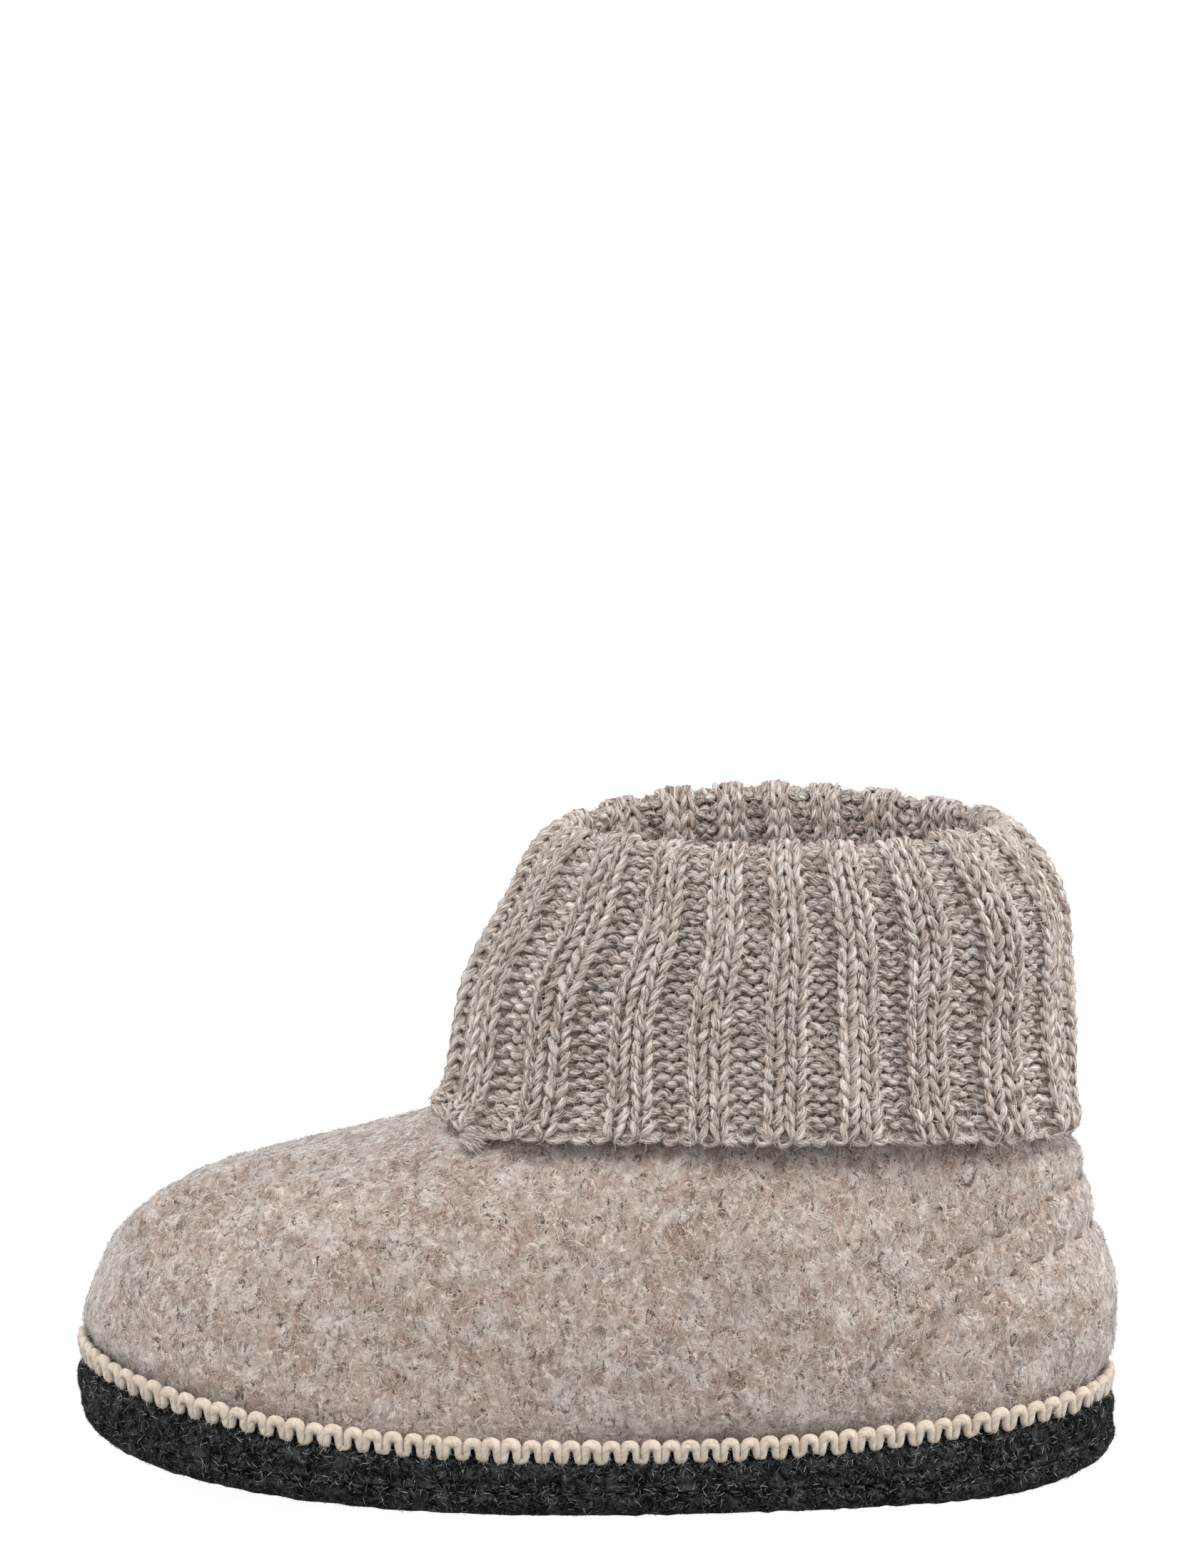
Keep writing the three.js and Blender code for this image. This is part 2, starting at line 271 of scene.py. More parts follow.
def new_group(name, colours, values, outputs):
    """An empty shader group with named inputs and outputs, and the outputs of its input node."""
    group = bpy.data.node_groups.new(name, "ShaderNodeTree")
    kinds = dict.fromkeys(colours, "NodeSocketColor") | dict.fromkeys(values, "NodeSocketFloat")
    for socket, kind in kinds.items():
        group.interface.new_socket(socket, in_out="INPUT", socket_type=kind)
    for socket, kind in outputs.items():
        group.interface.new_socket(socket, in_out="OUTPUT", socket_type=kind)
    return group, group.nodes.new("NodeGroupInput").outputs


def make_felted_wool():
    """Felt: drifting clouds of dyed wool, curls with painted shade in their hollows and painted highlight on
    their tops, painted shade in the gaps between the fibres, and single pale hairs.
    """
    colours = ("Dark", "Middle", "Light", "Fleck", "Hair And Highlight")
    values = ("Patch Scale", "Fibre Scale", "Fleck Share")
    outputs = {"Color": "NodeSocketColor", "Height": "NodeSocketFloat"}
    group, given = new_group("felted_wool", colours, values, outputs)
    spots = add_node(group, "ShaderNodeTexCoord").outputs["Object"]

    def clouds(offset, detail):
        moved = shift(group, spots, "ADD", offset)
        return noise(group, moved, given["Patch Scale"], detail, Roughness=0.65)

    def strands(offset):
        scale = work(group, "MULTIPLY", given["Fibre Scale"], 0.4)
        bends = noise(group, shift(group, spots, "ADD", offset), scale, 1, Distortion=1.4)
        off_line = work(group, "ABSOLUTE", work(group, "SUBTRACT", bends, 0.5))
        return stretch(group, off_line, 0.02, 0.004)

    flecked = stretch(group, clouds((3.1, 1.7, 0.4), 4), 0.48, 0.64)
    flecked = work(group, "MULTIPLY", flecked, given["Fleck Share"])
    base = mix_colours(group, flecked, given["Middle"], given["Fleck"])
    pale = stretch(group, clouds((0.6, 2.3, 5.2), 3), 0.48, 0.68)
    base = mix_colours(group, pale, base, given["Light"])
    upright = shift(group, spots, "MULTIPLY", (1, 1, 0.6))
    tangle = noise(group, upright, given["Fibre Scale"], 3, Roughness=0.6, Distortion=1.2)
    curl_scale = work(group, "MULTIPLY", given["Fibre Scale"], 0.42)
    curls = noise(group, upright, curl_scale, 2, Distortion=1.8)
    # Painted shade and highlight on the curls: the curl relief is painted dark in its hollows and pale, in
    # the hair colour, on its tops.
    hollow = work(group, "MULTIPLY", stretch(group, curls, 0.48, 0.3), 0.55)
    base = mix_colours(group, hollow, base, given["Dark"])
    raised_highlight = work(group, "MULTIPLY", stretch(group, curls, 0.52, 0.7), 0.6)
    base = mix_colours(group, raised_highlight, base, given["Hair And Highlight"])
    # Painted shade: where the tangle relief dips between the fibres, the colour is mixed toward the dark
    # shade.
    gap_shaded = mix_colours(group, stretch(group, tangle, 0.45, 0.34), base, given["Dark"])
    hairs = work(group, "MAXIMUM", strands((1.3, 0.2, 2.9)), strands((4.7, 3.3, 0.8)))
    colour = mix_colours(group, hairs, gap_shaded, given["Hair And Highlight"])
    height = work(group, "MULTIPLY_ADD", hairs, 0.12, tangle)
    height = work(group, "MULTIPLY_ADD", curls, 1.4, height)
    add_node(group, "NodeGroupOutput", {"Color": colour, "Height": height})
    return group


felted_wool = make_felted_wool()


def new_material(name, finish):
    """A material whose Principled shader has the given plain surface values."""
    material = bpy.data.materials.new(name)
    material.use_nodes = True
    shader = material.node_tree.nodes["Principled BSDF"]
    for socket, value in finish.items():
        shader.inputs[socket].default_value = value
    return material, shader


def wool_material(name, group, colours, values, finish):
    """Wool from one of the shared groups, with its own dyes, values and finish."""
    material, shader = new_material(name, finish | {"Sheen Roughness": SHEEN_ROUGHNESS})
    dyes = {socket: dyed(*colour) for socket, colour in colours.items()}
    wool = add_node(material.node_tree, "ShaderNodeGroup", dyes | values, node_tree=group)
    material.node_tree.links.new(wool.outputs["Color"], shader.inputs["Base Color"])
    return material, wool, shader


def add_relief(material, shader, height, strength, depth):
    """Lets heights that change over the surface bend its normals."""
    bump_inputs = {"Height": height, "Strength": strength, "Distance": depth}
    bump = add_node(material.node_tree, "ShaderNodeBump", bump_inputs)
    material.node_tree.links.new(bump.outputs["Normal"], shader.inputs["Normal"])


def felt_material(name, colours, patch_scale, fibre_scale, fleck_share, bump_depth, sheen):
    """Matt felt from the shared wool group, with its own colours and grain."""
    values = {"Patch Scale": patch_scale, "Fibre Scale": fibre_scale, "Fleck Share": fleck_share}
    finish = {"Roughness": 0.95, "Specular IOR Level": 0.05, "Sheen Weight": sheen}
    material, wool, shader = wool_material(name, felted_wool, colours, values, finish)
    add_relief(material, shader, wool.outputs["Height"], FELT_RELIEF, bump_depth)
    return material


charcoal_felt = felt_material(
    "charcoal_felt",
    {
        "Dark": (3, 3, 4), "Middle": (8, 9, 10), "Light": (48, 51, 53),
        "Fleck": (6, 6, 6), "Hair And Highlight": (74, 77, 78),
    },
    patch_scale=240,
    fibre_scale=700,
    fleck_share=0.6,
    bump_depth=0.002,
    sheen=0,
)

sole_turns = np.arange(SOLE_STATIONS) / SOLE_STATIONS * FULL_TURN
outsole_rings = []
for step in range(OUTSOLE_EDGE_STEPS + 1):
    step_height = OUTSOLE_SHOULDER * (1 - math.cos(step / OUTSOLE_EDGE_STEPS * math.pi / 2))
    outsole_rings.append(sole_ring(
        sole_turns,
        lambda along: edge_inset(along, step_height),
        lambda along: underside_height(along) + step_height,
    ))
outsole_rings.append(sole_ring(
    sole_turns,
    lambda along: edge_inset(along, OUTSOLE_HEIGHT) + OUTSOLE_TOP_INSET,
    lambda along: underside_height(along) + OUTSOLE_HEIGHT,
))
outsole_rings = np.stack(outsole_rings)
add_lumps(outsole_rings, seed=11, rows=slice(1, -1))
outsole_rings[..., 2] = np.maximum(outsole_rings[..., 2], 0)
outsole_piece = make_slab(
    "outsole_felt", outsole_rings, SHOWN_COLUMNS, HIDDEN_COLUMNS, charcoal_felt)
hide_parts("outsole")

# Midsole: a thicker slab of the same felt between outsole and upper. A shallow groove runs around its side,
# and the overcast seam pulls its upper edge in. Dark lock stitches along its lower edge hold the outsole.
SEAM_LOW = 17
SEAM_HEEL_RISE = 7.5
SEAM_HEEL_END = 115
SEAM_TOE_RISE = 14.5
SEAM_TOE_START = 125
SEAM_TOE_POWER = 2.3
FITTING_GAP = 0.3
MIDSOLE_SIDE = {
    "up": (0, 0.08, 0.2, 0.34, 0.6, 0.7, 0.78, 1),
    "inset": (1.3, 0.4, 1.1, 0.4, 0.7, 2, 3.5, 4.2),
}
MIDSOLE_STEPS = 24
LOCK_STITCH_PITCH = 5.2
LOCK_STITCH_SHARE = 0.55
LOCK_STITCH_RADIUS = 0.36
LOCK_STITCH_INSET = 0.75
LOCK_STITCH_DIVE = 0.5
LOCK_STITCH_END = 0.35
LOCK_STITCH_POINTS = 6
LOCK_STITCH_SIDES = 5
THREAD_GRAIN = {"patch_scale": 300, "fibre_scale": 1500, "fleck_share": 0.3, "sheen": 0.1}
BAKE_MARGIN = 0.04
SOLE_HAIRS = {
    "count": 12000, "darkness": 1.3,
    "length": (0.7, 2.4), "bend": 0.8, "lift": 0.5, "width": 0.12, "bed": 0.03,
}
BEND_LIMIT = 1.4
MIDDLE_BEND = 0.4
TIP_REACH = 0.9
TWIST_LIMIT = 0.6
TIP_LIFT = (-0.3, 1.6)
HAIR_FLOOR = 0.05
STRIP_FACES = ([0, 2, 3, 1], [2, 4, 3])
STRIP_MAP = ((0.1, 0.1), (0.1, 0.9), (0.5, 0.1), (0.5, 0.9), (0.9, 0.5))


def seam_height(along):
    heel = np.maximum(0, 1 - along / SEAM_HEEL_END) ** 2 * SEAM_HEEL_RISE
    toe = np.maximum(0, (along - SEAM_TOE_START) / (LENGTH - SEAM_TOE_START)) ** SEAM_TOE_POWER
    return SEAM_LOW + heel + toe * SEAM_TOE_RISE


def midsole_ring(up):
    def height_at(along):
        low = underside_height(along) + OUTSOLE_HEIGHT + FITTING_GAP
        return low + (seam_height(along) - FITTING_GAP - low) * up

    def inset_at(along):
        inset = read_column(MIDSOLE_SIDE, "up", "inset", up)
        return inset + edge_inset(along, height_at(along) - underside_height(along))

    return sole_ring(sole_turns, inset_at, height_at)


midsole_rings = np.stack([midsole_ring(step / MIDSOLE_STEPS) for step in range(MIDSOLE_STEPS + 1)])
add_lumps(midsole_rings, seed=12, rows=slice(2, -6))
midsole_piece = make_slab(
    "midsole_felt", midsole_rings, HIDDEN_COLUMNS, HIDDEN_COLUMNS, charcoal_felt)
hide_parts("midsole")


def spin_yarn(paths, outward, radii, sides, is_loop):
    """Round yarns along several paths: their points, spokes, headings, faces and running lengths."""
    if is_loop:
        ahead = unit(np.roll(paths, -1, axis=1) - np.roll(paths, 1, axis=1))
        step = np.linalg.norm(np.roll(paths, -1, axis=1) - paths, axis=-1)
    else:
        ahead = unit(np.gradient(paths, axis=1))
        step = np.linalg.norm(np.diff(paths, axis=1), axis=-1)
    side = unit(np.cross(ahead, outward))
    front = np.cross(side, ahead)
    angle = np.arange(sides) / sides * FULL_TURN
    spokes = side[:, :, None] * np.cos(angle)[:, None] + front[:, :, None] * np.sin(angle)[:, None]
    points = paths[:, :, None] + spokes * radii[:, :, None, None]
    path_count, point_count = paths.shape[:2]
    one = ring_faces(point_count, sides, is_loop)
    first = np.arange(path_count)[:, None, None] * point_count * sides
    faces = (first + one).reshape(-1, 4)
    length = np.concatenate([np.zeros((path_count, 1)), np.cumsum(step, axis=1)], axis=1)
    return points, spokes, ahead, faces, length


def add_map(piece, name, corners):
    """Lays a UV map whose corners come in the order of the mesh's own face corners."""
    layer = piece.data.uv_layers.new(name=name)
    layer.data.foreach_set("uv", np.asarray(corners, np.float32).ravel())


def map_yarn(piece, length, sides, bake_rows):
    """Two maps: one in millimetres along and turns around, and one that spreads the yarns in rows."""
    path_count, span_count = length.shape[0], length.shape[1] - 1
    counts = (path_count, span_count, sides)
    path, span, k = np.meshgrid(*(np.arange(count) for count in counts), indexing="ij")
    spans = np.stack([span, span + 1, span + 1, span], axis=-1)
    turns = np.stack([k, k, k + 1, k + 1], axis=-1) / sides
    run = length[path[..., None], spans]
    add_map(piece, "yarn", np.stack([run, turns], axis=-1).reshape(-1, 2))
    share = (path[..., None] + spans / span_count) / path_count * bake_rows
    row = (path[..., None] + span[..., None] / span_count) / path_count * bake_rows
    row = np.minimum(np.floor(row), bake_rows - 1)
    height = (row + BAKE_MARGIN + (1 - 2 * BAKE_MARGIN) * turns) / bake_rows
    spread = np.stack([share - row, height], axis=-1)
    add_map(piece, "OFBake", spread.reshape(-1, 2))


def yarn_piece(name, paths, outward, radii, sides, is_loop, material, bake_rows):
    """A mapped piece of yarns, and the points, spokes and headings that the hairs on it need."""
    points, spokes, ahead, faces, length = spin_yarn(paths, outward, radii, sides, is_loop)
    piece = make_piece(name, points.reshape(-1, 3), faces, material)
    map_yarn(piece, length, sides, bake_rows)
    return piece, points, spokes, ahead


def run_along(line):
    """Running length along a line, from nothing to its whole length."""
    return np.concatenate([[0], np.cumsum(np.linalg.norm(np.diff(line, axis=0), axis=1))])


def run_around(ring):
    return run_along(np.append(ring, ring[:1], axis=0))


lock_reach = run_around(outsole_rings[-1])
lock_count = round(lock_reach[-1] / LOCK_STITCH_PITCH)
lock_starts = np.arange(lock_count)[:, None] * lock_reach[-1] / lock_count
lock_spots = np.linspace(0, LOCK_STITCH_SHARE, LOCK_STITCH_POINTS) * LOCK_STITCH_PITCH
lock_turns = np.interp(lock_starts + lock_spots, lock_reach, np.append(sole_turns, FULL_TURN))
lock_sag = np.sin(np.linspace(0, math.pi, LOCK_STITCH_POINTS))
lock_paths = sole_ring(
    lock_turns,
    lambda along: edge_inset(along, OUTSOLE_HEIGHT) + LOCK_STITCH_INSET + LOCK_STITCH_DIVE * (1 - lock_sag),
    lambda along: underside_height(along) + OUTSOLE_HEIGHT + FITTING_GAP / 2,
)
lock_outer = sole_ring(lock_turns, lambda along: 0 * along, lambda along: 0 * along)
lock_inner = sole_ring(lock_turns, lambda along: 1 + 0 * along, lambda along: 0 * along)
lock_outward = unit(lock_outer - lock_inner)
lock_girth = LOCK_STITCH_END + (1 - LOCK_STITCH_END) * lock_sag
lock_radii = LOCK_STITCH_RADIUS * np.broadcast_to(lock_girth, lock_turns.shape)
lock_thread = felt_material(
    "lock_thread",
    {
        "Dark": (24, 25, 26), "Middle": (42, 43, 44), "Light": (66, 67, 67),
        "Fleck": (36, 35, 34), "Hair And Highlight": (92, 93, 93),
    },
    bump_depth=0.0003,
    **THREAD_GRAIN,
)
yarn_piece(
    "lock_stitch", lock_paths, lock_outward, lock_radii, LOCK_STITCH_SIDES, False,
    lock_thread, bake_rows=12)


def scatter(rings, normals, count, draw, keep=None):
    """Random spots on a stack of closed rings, evenly by area, with their normals."""
    across = np.roll(rings, -1, axis=1)
    cell_area = np.linalg.norm(np.cross(across[:-1] - rings[:-1], rings[1:] - rings[:-1]), axis=-1)
    if keep is not None:
        cell_area = cell_area * keep[:-1]
    chosen = draw.choice(cell_area.size, size=count, p=(cell_area / cell_area.sum()).ravel())
    row, column = np.unravel_index(chosen, cell_area.shape)
    after = (column + 1) % rings.shape[1]
    u = draw.random((count, 1))
    v = draw.random((count, 1))

    def blend(grid):
        low = grid[row, column] * (1 - u) + grid[row, after] * u
        high = grid[row + 1, column] * (1 - u) + grid[row + 1, after] * u
        return low * (1 - v) + high * v

    return blend(rings), unit(blend(normals))


def lay_fibres(name, spots, normals, sizes, draw, material, heading=None, tint=None):
    """Single hairs as strips that taper to a point and are shaded like the surface they grow from."""
    count = len(spots)
    helper = draw.normal(size=(count, 3)) if heading is None else heading
    way = unit(helper - normals * (helper * normals).sum(axis=1, keepdims=True))
    side = np.cross(normals, way)
    length = draw.uniform(*sizes["length"], (count, 1))
    bend = np.clip(draw.normal(0, 1, (count, 1)), -BEND_LIMIT, BEND_LIMIT) * sizes["bend"] * length
    lift = draw.uniform(0, 1, (count, 1)) ** 2 * sizes["lift"]
    twist = draw.uniform(-TWIST_LIMIT, TWIST_LIMIT, (count, 1))
    across = (side * np.cos(twist) + normals * np.sin(twist)) * sizes["width"] / 2
    root = spots + normals * sizes["bed"]
    middle = root + way * length / 2 + side * bend * MIDDLE_BEND + normals * lift
    tip_lift = draw.uniform(*TIP_LIFT, (count, 1))
    tip = root + way * length * TIP_REACH + side * bend + normals * lift * tip_lift
    strip = np.stack([root - across, root + across, middle - across, middle + across, tip], axis=1)
    strip[..., 2] = np.maximum(strip[..., 2], HAIR_FLOOR)
    first = np.arange(count)[:, None] * strip.shape[1]
    faces = [face for shape in STRIP_FACES for face in (first + np.array([shape])).tolist()]
    piece = make_piece(name, strip.reshape(-1, 3), faces, material)
    piece.data.normals_split_custom_set_from_vertices(np.repeat(normals, strip.shape[1], axis=0).tolist())
    shade = draw.random(count) if tint is None else tint
    layer = piece.data.attributes.new("tint", "FLOAT", "POINT")
    layer.data.foreach_set("value", np.repeat(shade, strip.shape[1]).astype(np.float32))
    cells = math.ceil(math.sqrt(count))
    cell = np.stack(np.divmod(np.arange(count), cells), axis=1)[:, None, :]
    corners = [(cell + np.array(STRIP_MAP)[None, shape]).reshape(-1, 2) for shape in STRIP_FACES]
    add_map(piece, "OFBake", np.concatenate(corners) / cells)
    return piece


def make_fibre_shades():
    """Each hair keeps one of four dyed shades over its whole length."""
    shades = ("Dark", "Middle", "Light", "Palest")
    group, given = new_group("fibre_shades", shades, (), {"Color": "NodeSocketColor"})
    tint = add_node(group, "ShaderNodeAttribute", attribute_name="tint").outputs["Fac"]
    low = mix_colours(group, stretch(group, tint, 0.0, 0.35), given["Dark"], given["Middle"])
    mid = mix_colours(group, stretch(group, tint, 0.35, 0.7), low, given["Light"])
    colour = mix_colours(group, stretch(group, tint, 0.7, 1.0), mid, given["Palest"])
    add_node(group, "NodeGroupOutput", {"Color": colour})
    return group


fibre_shades = make_fibre_shades()


def fibre_material(name, dark, middle, light, palest, sheen=0.6):
    """Loose wool hairs in four shades."""
    colours = {"Dark": dark, "Middle": middle, "Light": light, "Palest": palest}
    finish = {"Roughness": 0.8, "Specular IOR Level": 0.1, "Sheen Weight": sheen}
    return wool_material(name, fibre_shades, colours, {}, finish)[0]


charcoal_hair = fibre_material(
    "charcoal_hair", (8, 9, 10), (26, 28, 29), (84, 87, 88), (166, 168, 167), sheen=0)
hair_draw = np.random.default_rng(21)
hair_rings = np.concatenate([outsole_rings[2:-1], midsole_rings[1:-2]])
hair_spots, hair_normals = scatter(hair_rings, ring_normals(hair_rings), SOLE_HAIRS["count"], hair_draw)
hair_shades = hair_draw.random(SOLE_HAIRS["count"]) ** SOLE_HAIRS["darkness"]
lay_fibres(
    "sole_hairs", hair_spots, hair_normals, SOLE_HAIRS, hair_draw, charcoal_hair,
    tint=hair_shades)

# Insole: a smooth grey-beige felt footbed that lies on the midsole inside the upper.
# It shows only through the collar.
SEAM_INSET = 4.2
FELT_WALL = 3.6
INSOLE_HEIGHT = 4
INSOLE_ROUNDING = 0.9
INSOLE_BEVEL = 0.26
INSOLE_HOLLOW = 0.8
INSOLE_HOLLOW_EDGE = (4, 9)

insole_inset = SEAM_INSET + FELT_WALL + 2 * FITTING_GAP
insole_profile = [
    (0, 0),
    (0, INSOLE_HEIGHT - INSOLE_ROUNDING),
    (INSOLE_BEVEL, INSOLE_HEIGHT - INSOLE_BEVEL),
    (INSOLE_ROUNDING, INSOLE_HEIGHT),
    (INSOLE_HOLLOW_EDGE[0], INSOLE_HEIGHT),
    (INSOLE_HOLLOW_EDGE[1], INSOLE_HEIGHT - INSOLE_HOLLOW),
]
insole_rings = np.stack([
    sole_ring(
        sole_turns,
        lambda along: insole_inset + inset + 0 * along,
        lambda along: seam_height(along) + height,
    )
    for inset, height in insole_profile
])
footbed_felt = felt_material(
    "footbed_felt",
    {
        "Dark": (118, 108, 101), "Middle": (142, 132, 124), "Light": (176, 168, 160),
        "Fleck": (104, 88, 78), "Hair And Highlight": (190, 182, 174),
    },
    patch_scale=120,
    fibre_scale=900,
    fleck_share=0.5,
    bump_depth=0.0006,
    sheen=0.2,
)
insole_piece = make_slab(
    "insole_felt", insole_rings, HIDDEN_COLUMNS, SHOWN_COLUMNS, footbed_felt)
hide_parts("insole")

# Upper: a hollow shell of boiled wool, moulded on a last, with a blunt toe, full sides and a cupped heel.
# It is sewn to the midsole along its lower edge. Two sunk rows of stitches hold the heel piece.
COLLAR_HEIGHT = 104
ANKLE_ALONG = 89.5
COLLAR_BACK = 20
COLLAR_FRONT = 161
COLLAR_HALF_WIDTH = 36
PROFILE_LEVELS = tuple(range(12))
TOE_PROFILE = {
    "level": PROFILE_LEVELS,
    "reach": (1, 1.004, 1.024, 0.99, 0.937, 0.85, 0.715, 0.538, 0.34, 0.16, 0.05, 0),
    "rise": (0, 0.035, 0.1, 0.245, 0.372, 0.492, 0.603, 0.684, 0.753, 0.82, 0.891, 1),
}
SIDE_PROFILE = {
    "level": PROFILE_LEVELS,
    "reach": (1, 1, 1, 1, 0.97, 0.94, 0.9, 0.8, 0.62, 0.42, 0.16, 0),
    "rise": (0, 0.03, 0.09, 0.2, 0.32, 0.43, 0.54, 0.64, 0.74, 0.83, 0.92, 1),
    "swell": (0, 0.8, 4, 5.2, 5.6, 5.6, 5.4, 5, 4.2, 3, 1.6, 0),
}
HEEL_PROFILE = {
    "level": PROFILE_LEVELS,
    "reach": (1, 1.03, 1.21, 1.28, 1.24, 1.13, 1, 0.87, 0.75, 0.64, 0.3, 0),
    "rise": (0, 0.035, 0.1, 0.24, 0.33, 0.4, 0.465, 0.54, 0.65, 0.75, 0.825, 1),
}
TOE_SECTOR = (0.45, 1)
HEEL_SECTOR = (0.3, 1)
TOP_LEVEL = PROFILE_LEVELS[-1]
OUTSIDE_ROWS = 90
INSIDE_ROWS = 14
HEEL_ROWS = {
    "upper": {"angle": (0, 18, 26, 34, 44, 50, 56, 64), "height": (78, 73.5, 67, 62.5, 53.5, 45.5, 39, 25)},
    "lower": {"angle": (0, 14, 23, 31, 39, 46, 54), "height": (65, 62.5, 58.5, 52, 46.5, 39, 28)},
}
HEEL_ROW_DEPTH = 1.4
HEEL_ROW_WIDTH = 2
HEEL_STITCH_PITCH = 8
HEEL_STITCH_SHARE = 0.52
HEEL_STITCH_REACH = (0.6, 1.3)
HEEL_STITCH_WANDER = 0.9
HEEL_LINE_POINTS = 200
HEEL_STITCH_RADIUS = 0.52
HEEL_STITCH_ARCH = 0.5
HEEL_STITCH_BED = 0.35
HEEL_STITCH_END = 0.4
HEEL_SAG_START = 0.15
HEEL_LINE_TRIM = (0.5, 1)
TOE_FOLD = {"along": (196, 211, 223, 231, 238, 246, 256), "across": (-16, -14.5, -12, -13, -8, -9, 2)}
TOE_FOLD_FORM = (
    {"height": 0.6, "off": -1.4, "width": 1},
    {"height": -1.2, "off": 0.2, "width": math.sqrt(0.5)},
    {"height": 0.8, "off": 2.4, "width": 1.3},
)
TOE_FOLD_DEPTH = 2.7
TOE_FOLD_WIDTH = 3.2
TOE_FOLD_START = (188, 214)
TOE_FOLD_END = (246, 258)
TOE_FOLD_HEIGHT = (50, 62)
UPPER_LUMPS = (
    {"depth": 0.35, "size": 34, "seed": 31},
    {"depth": 0.14, "size": 9, "seed": 32},
)
NAP_KINDS = {
    "wool_nap_short": {
        "count": 56000, "spread": 0.13,
        "length": (1, 2.8), "bend": 0.8, "lift": 0.62, "width": 0.16, "bed": 0.02,
    },
    "wool_nap_long": {
        "count": 4500, "spread": 0.3,
        "length": (3, 7), "bend": 0.7, "lift": 1.2, "width": 0.08, "bed": 0.1,
    },
}
NAP_STOP_BELOW_COLLAR = 4
NAP_LOCK_SIZE = 3.5
NAP_LOCK_SEEDS = (37, 38, 39)
NAP_STRAY = 0.45
NAP_UPRIGHT = np.array([1, 1, 1.5])
SHADE_DRIFT = (
    {"share": 0.2, "size": 2.6, "seed": 36},
    {"share": 0.14, "size": 6, "seed": 34},
    {"share": 0.1, "size": 19, "seed": 35},
)
FRINGE = {
    "count": 3000, "spread": 0.2, "height": 4,
    "length": (1.5, 4), "bend": 0.4, "lift": 1.2, "width": 0.15, "bed": 0.1,
}
TUFT = {
    "count": 180, "spot": (164.5, -23, 90.5), "scatter": 0.7,
    "heading": (0.8, -0.2, -0.6), "stray": 0.16, "shades": (0.5, 1),
    "length": (4, 9), "bend": 0.16, "lift": 0.9, "width": 0.15, "bed": 0.2,
}


def flat_map(span_count, column_count):
    """Corners that spread the faces between closed rings evenly over a whole map."""
    row, column = np.meshgrid(np.arange(span_count), np.arange(column_count), indexing="ij")
    corners = [(column, row), (column, row + 1), (column + 1, row + 1), (column + 1, row)]
    spread = np.stack([np.stack(corner, axis=-1) for corner in corners], axis=2).reshape(-1, 2)
    return spread / np.array([column_count, span_count])


def smooth_step(value, low, high):
    u = np.clip((value - low) / (high - low), 0, 1)
    return u * u * (3 - 2 * u)


def upper_point(turn, level):
    """A point of the upper's outer face; level counts up the rows of its profiles."""
    seam_along, seam_across = inset_point(turn, SEAM_INSET)
    seam_ahead = seam_along - ANKLE_ALONG
    seam_reach = np.hypot(seam_ahead, seam_across)
    cosine = seam_ahead / seam_reach
    sine = seam_across / seam_reach
    collar_length = np.where(cosine > 0, COLLAR_FRONT - ANKLE_ALONG, ANKLE_ALONG - COLLAR_BACK)
    collar_reach = 1 / np.hypot(cosine / collar_length, sine / COLLAR_HALF_WIDTH)
    toe = smooth_step(cosine, *TOE_SECTOR)
    heel = smooth_step(-cosine, *HEEL_SECTOR)
    side = 1 - toe - heel

    def blend(column):
        blended = toe * read_column(TOE_PROFILE, "level", column, level)
        blended = blended + side * read_column(SIDE_PROFILE, "level", column, level)
        return blended + heel * read_column(HEEL_PROFILE, "level", column, level)

    swell = side * read_column(SIDE_PROFILE, "level", "swell", level)
    radius = collar_reach + (seam_reach - collar_reach) * blend("reach") + swell
    low = seam_height(sole_point(turn)[0])
    height = low + (COLLAR_HEIGHT - low) * blend("rise")
    return place(ANKLE_ALONG + radius * cosine, radius * sine, height)


def upper_rings(row_count):
    levels = np.linspace(0, TOP_LEVEL, row_count)
    return np.stack([upper_point(sole_turns, np.full(SOLE_STATIONS, level)) for level in levels])


outside_rings = upper_rings(OUTSIDE_ROWS)
outside_normals = ring_normals(outside_rings)
inside_rings = upper_rings(INSIDE_ROWS)
inside_normals = ring_normals(inside_rings)
inside_normals[[0, -1], :, 2] = 0
inside_rings = inside_rings - unit(inside_normals) * FELT_WALL
lumps = sum(lump["depth"] * soft_noise(outside_rings, lump["size"], lump["seed"]) for lump in UPPER_LUMPS)
outside_rings[2:] += (outside_normals * lumps[..., None])[2:]
outside_along = HEEL_X - outside_rings[..., 0]
heel_angle = np.degrees(np.abs(np.arctan2(outside_rings[..., 1], ANKLE_ALONG - outside_along)))
for heel_row in HEEL_ROWS.values():
    row_height = read_column(heel_row, "angle", "height", heel_angle)
    row_slope = np.gradient(row_height, axis=1) / np.gradient(heel_angle, axis=1)
    off_row = (outside_rings[..., 2] - row_height) * np.cos(np.arctan(row_slope))
    on_row = (heel_angle < heel_row["angle"][-1]) * np.exp(-(off_row / HEEL_ROW_WIDTH) ** 2)
    outside_rings -= outside_normals * (HEEL_ROW_DEPTH * on_row)[..., None]
fold_across = read_column(TOE_FOLD, "along", "across", outside_along)
fold_ends = smooth_step(outside_along, *TOE_FOLD_START) * (1 - smooth_step(outside_along, *TOE_FOLD_END))
off_fold = (outside_rings[..., 1] - fold_across) / TOE_FOLD_WIDTH
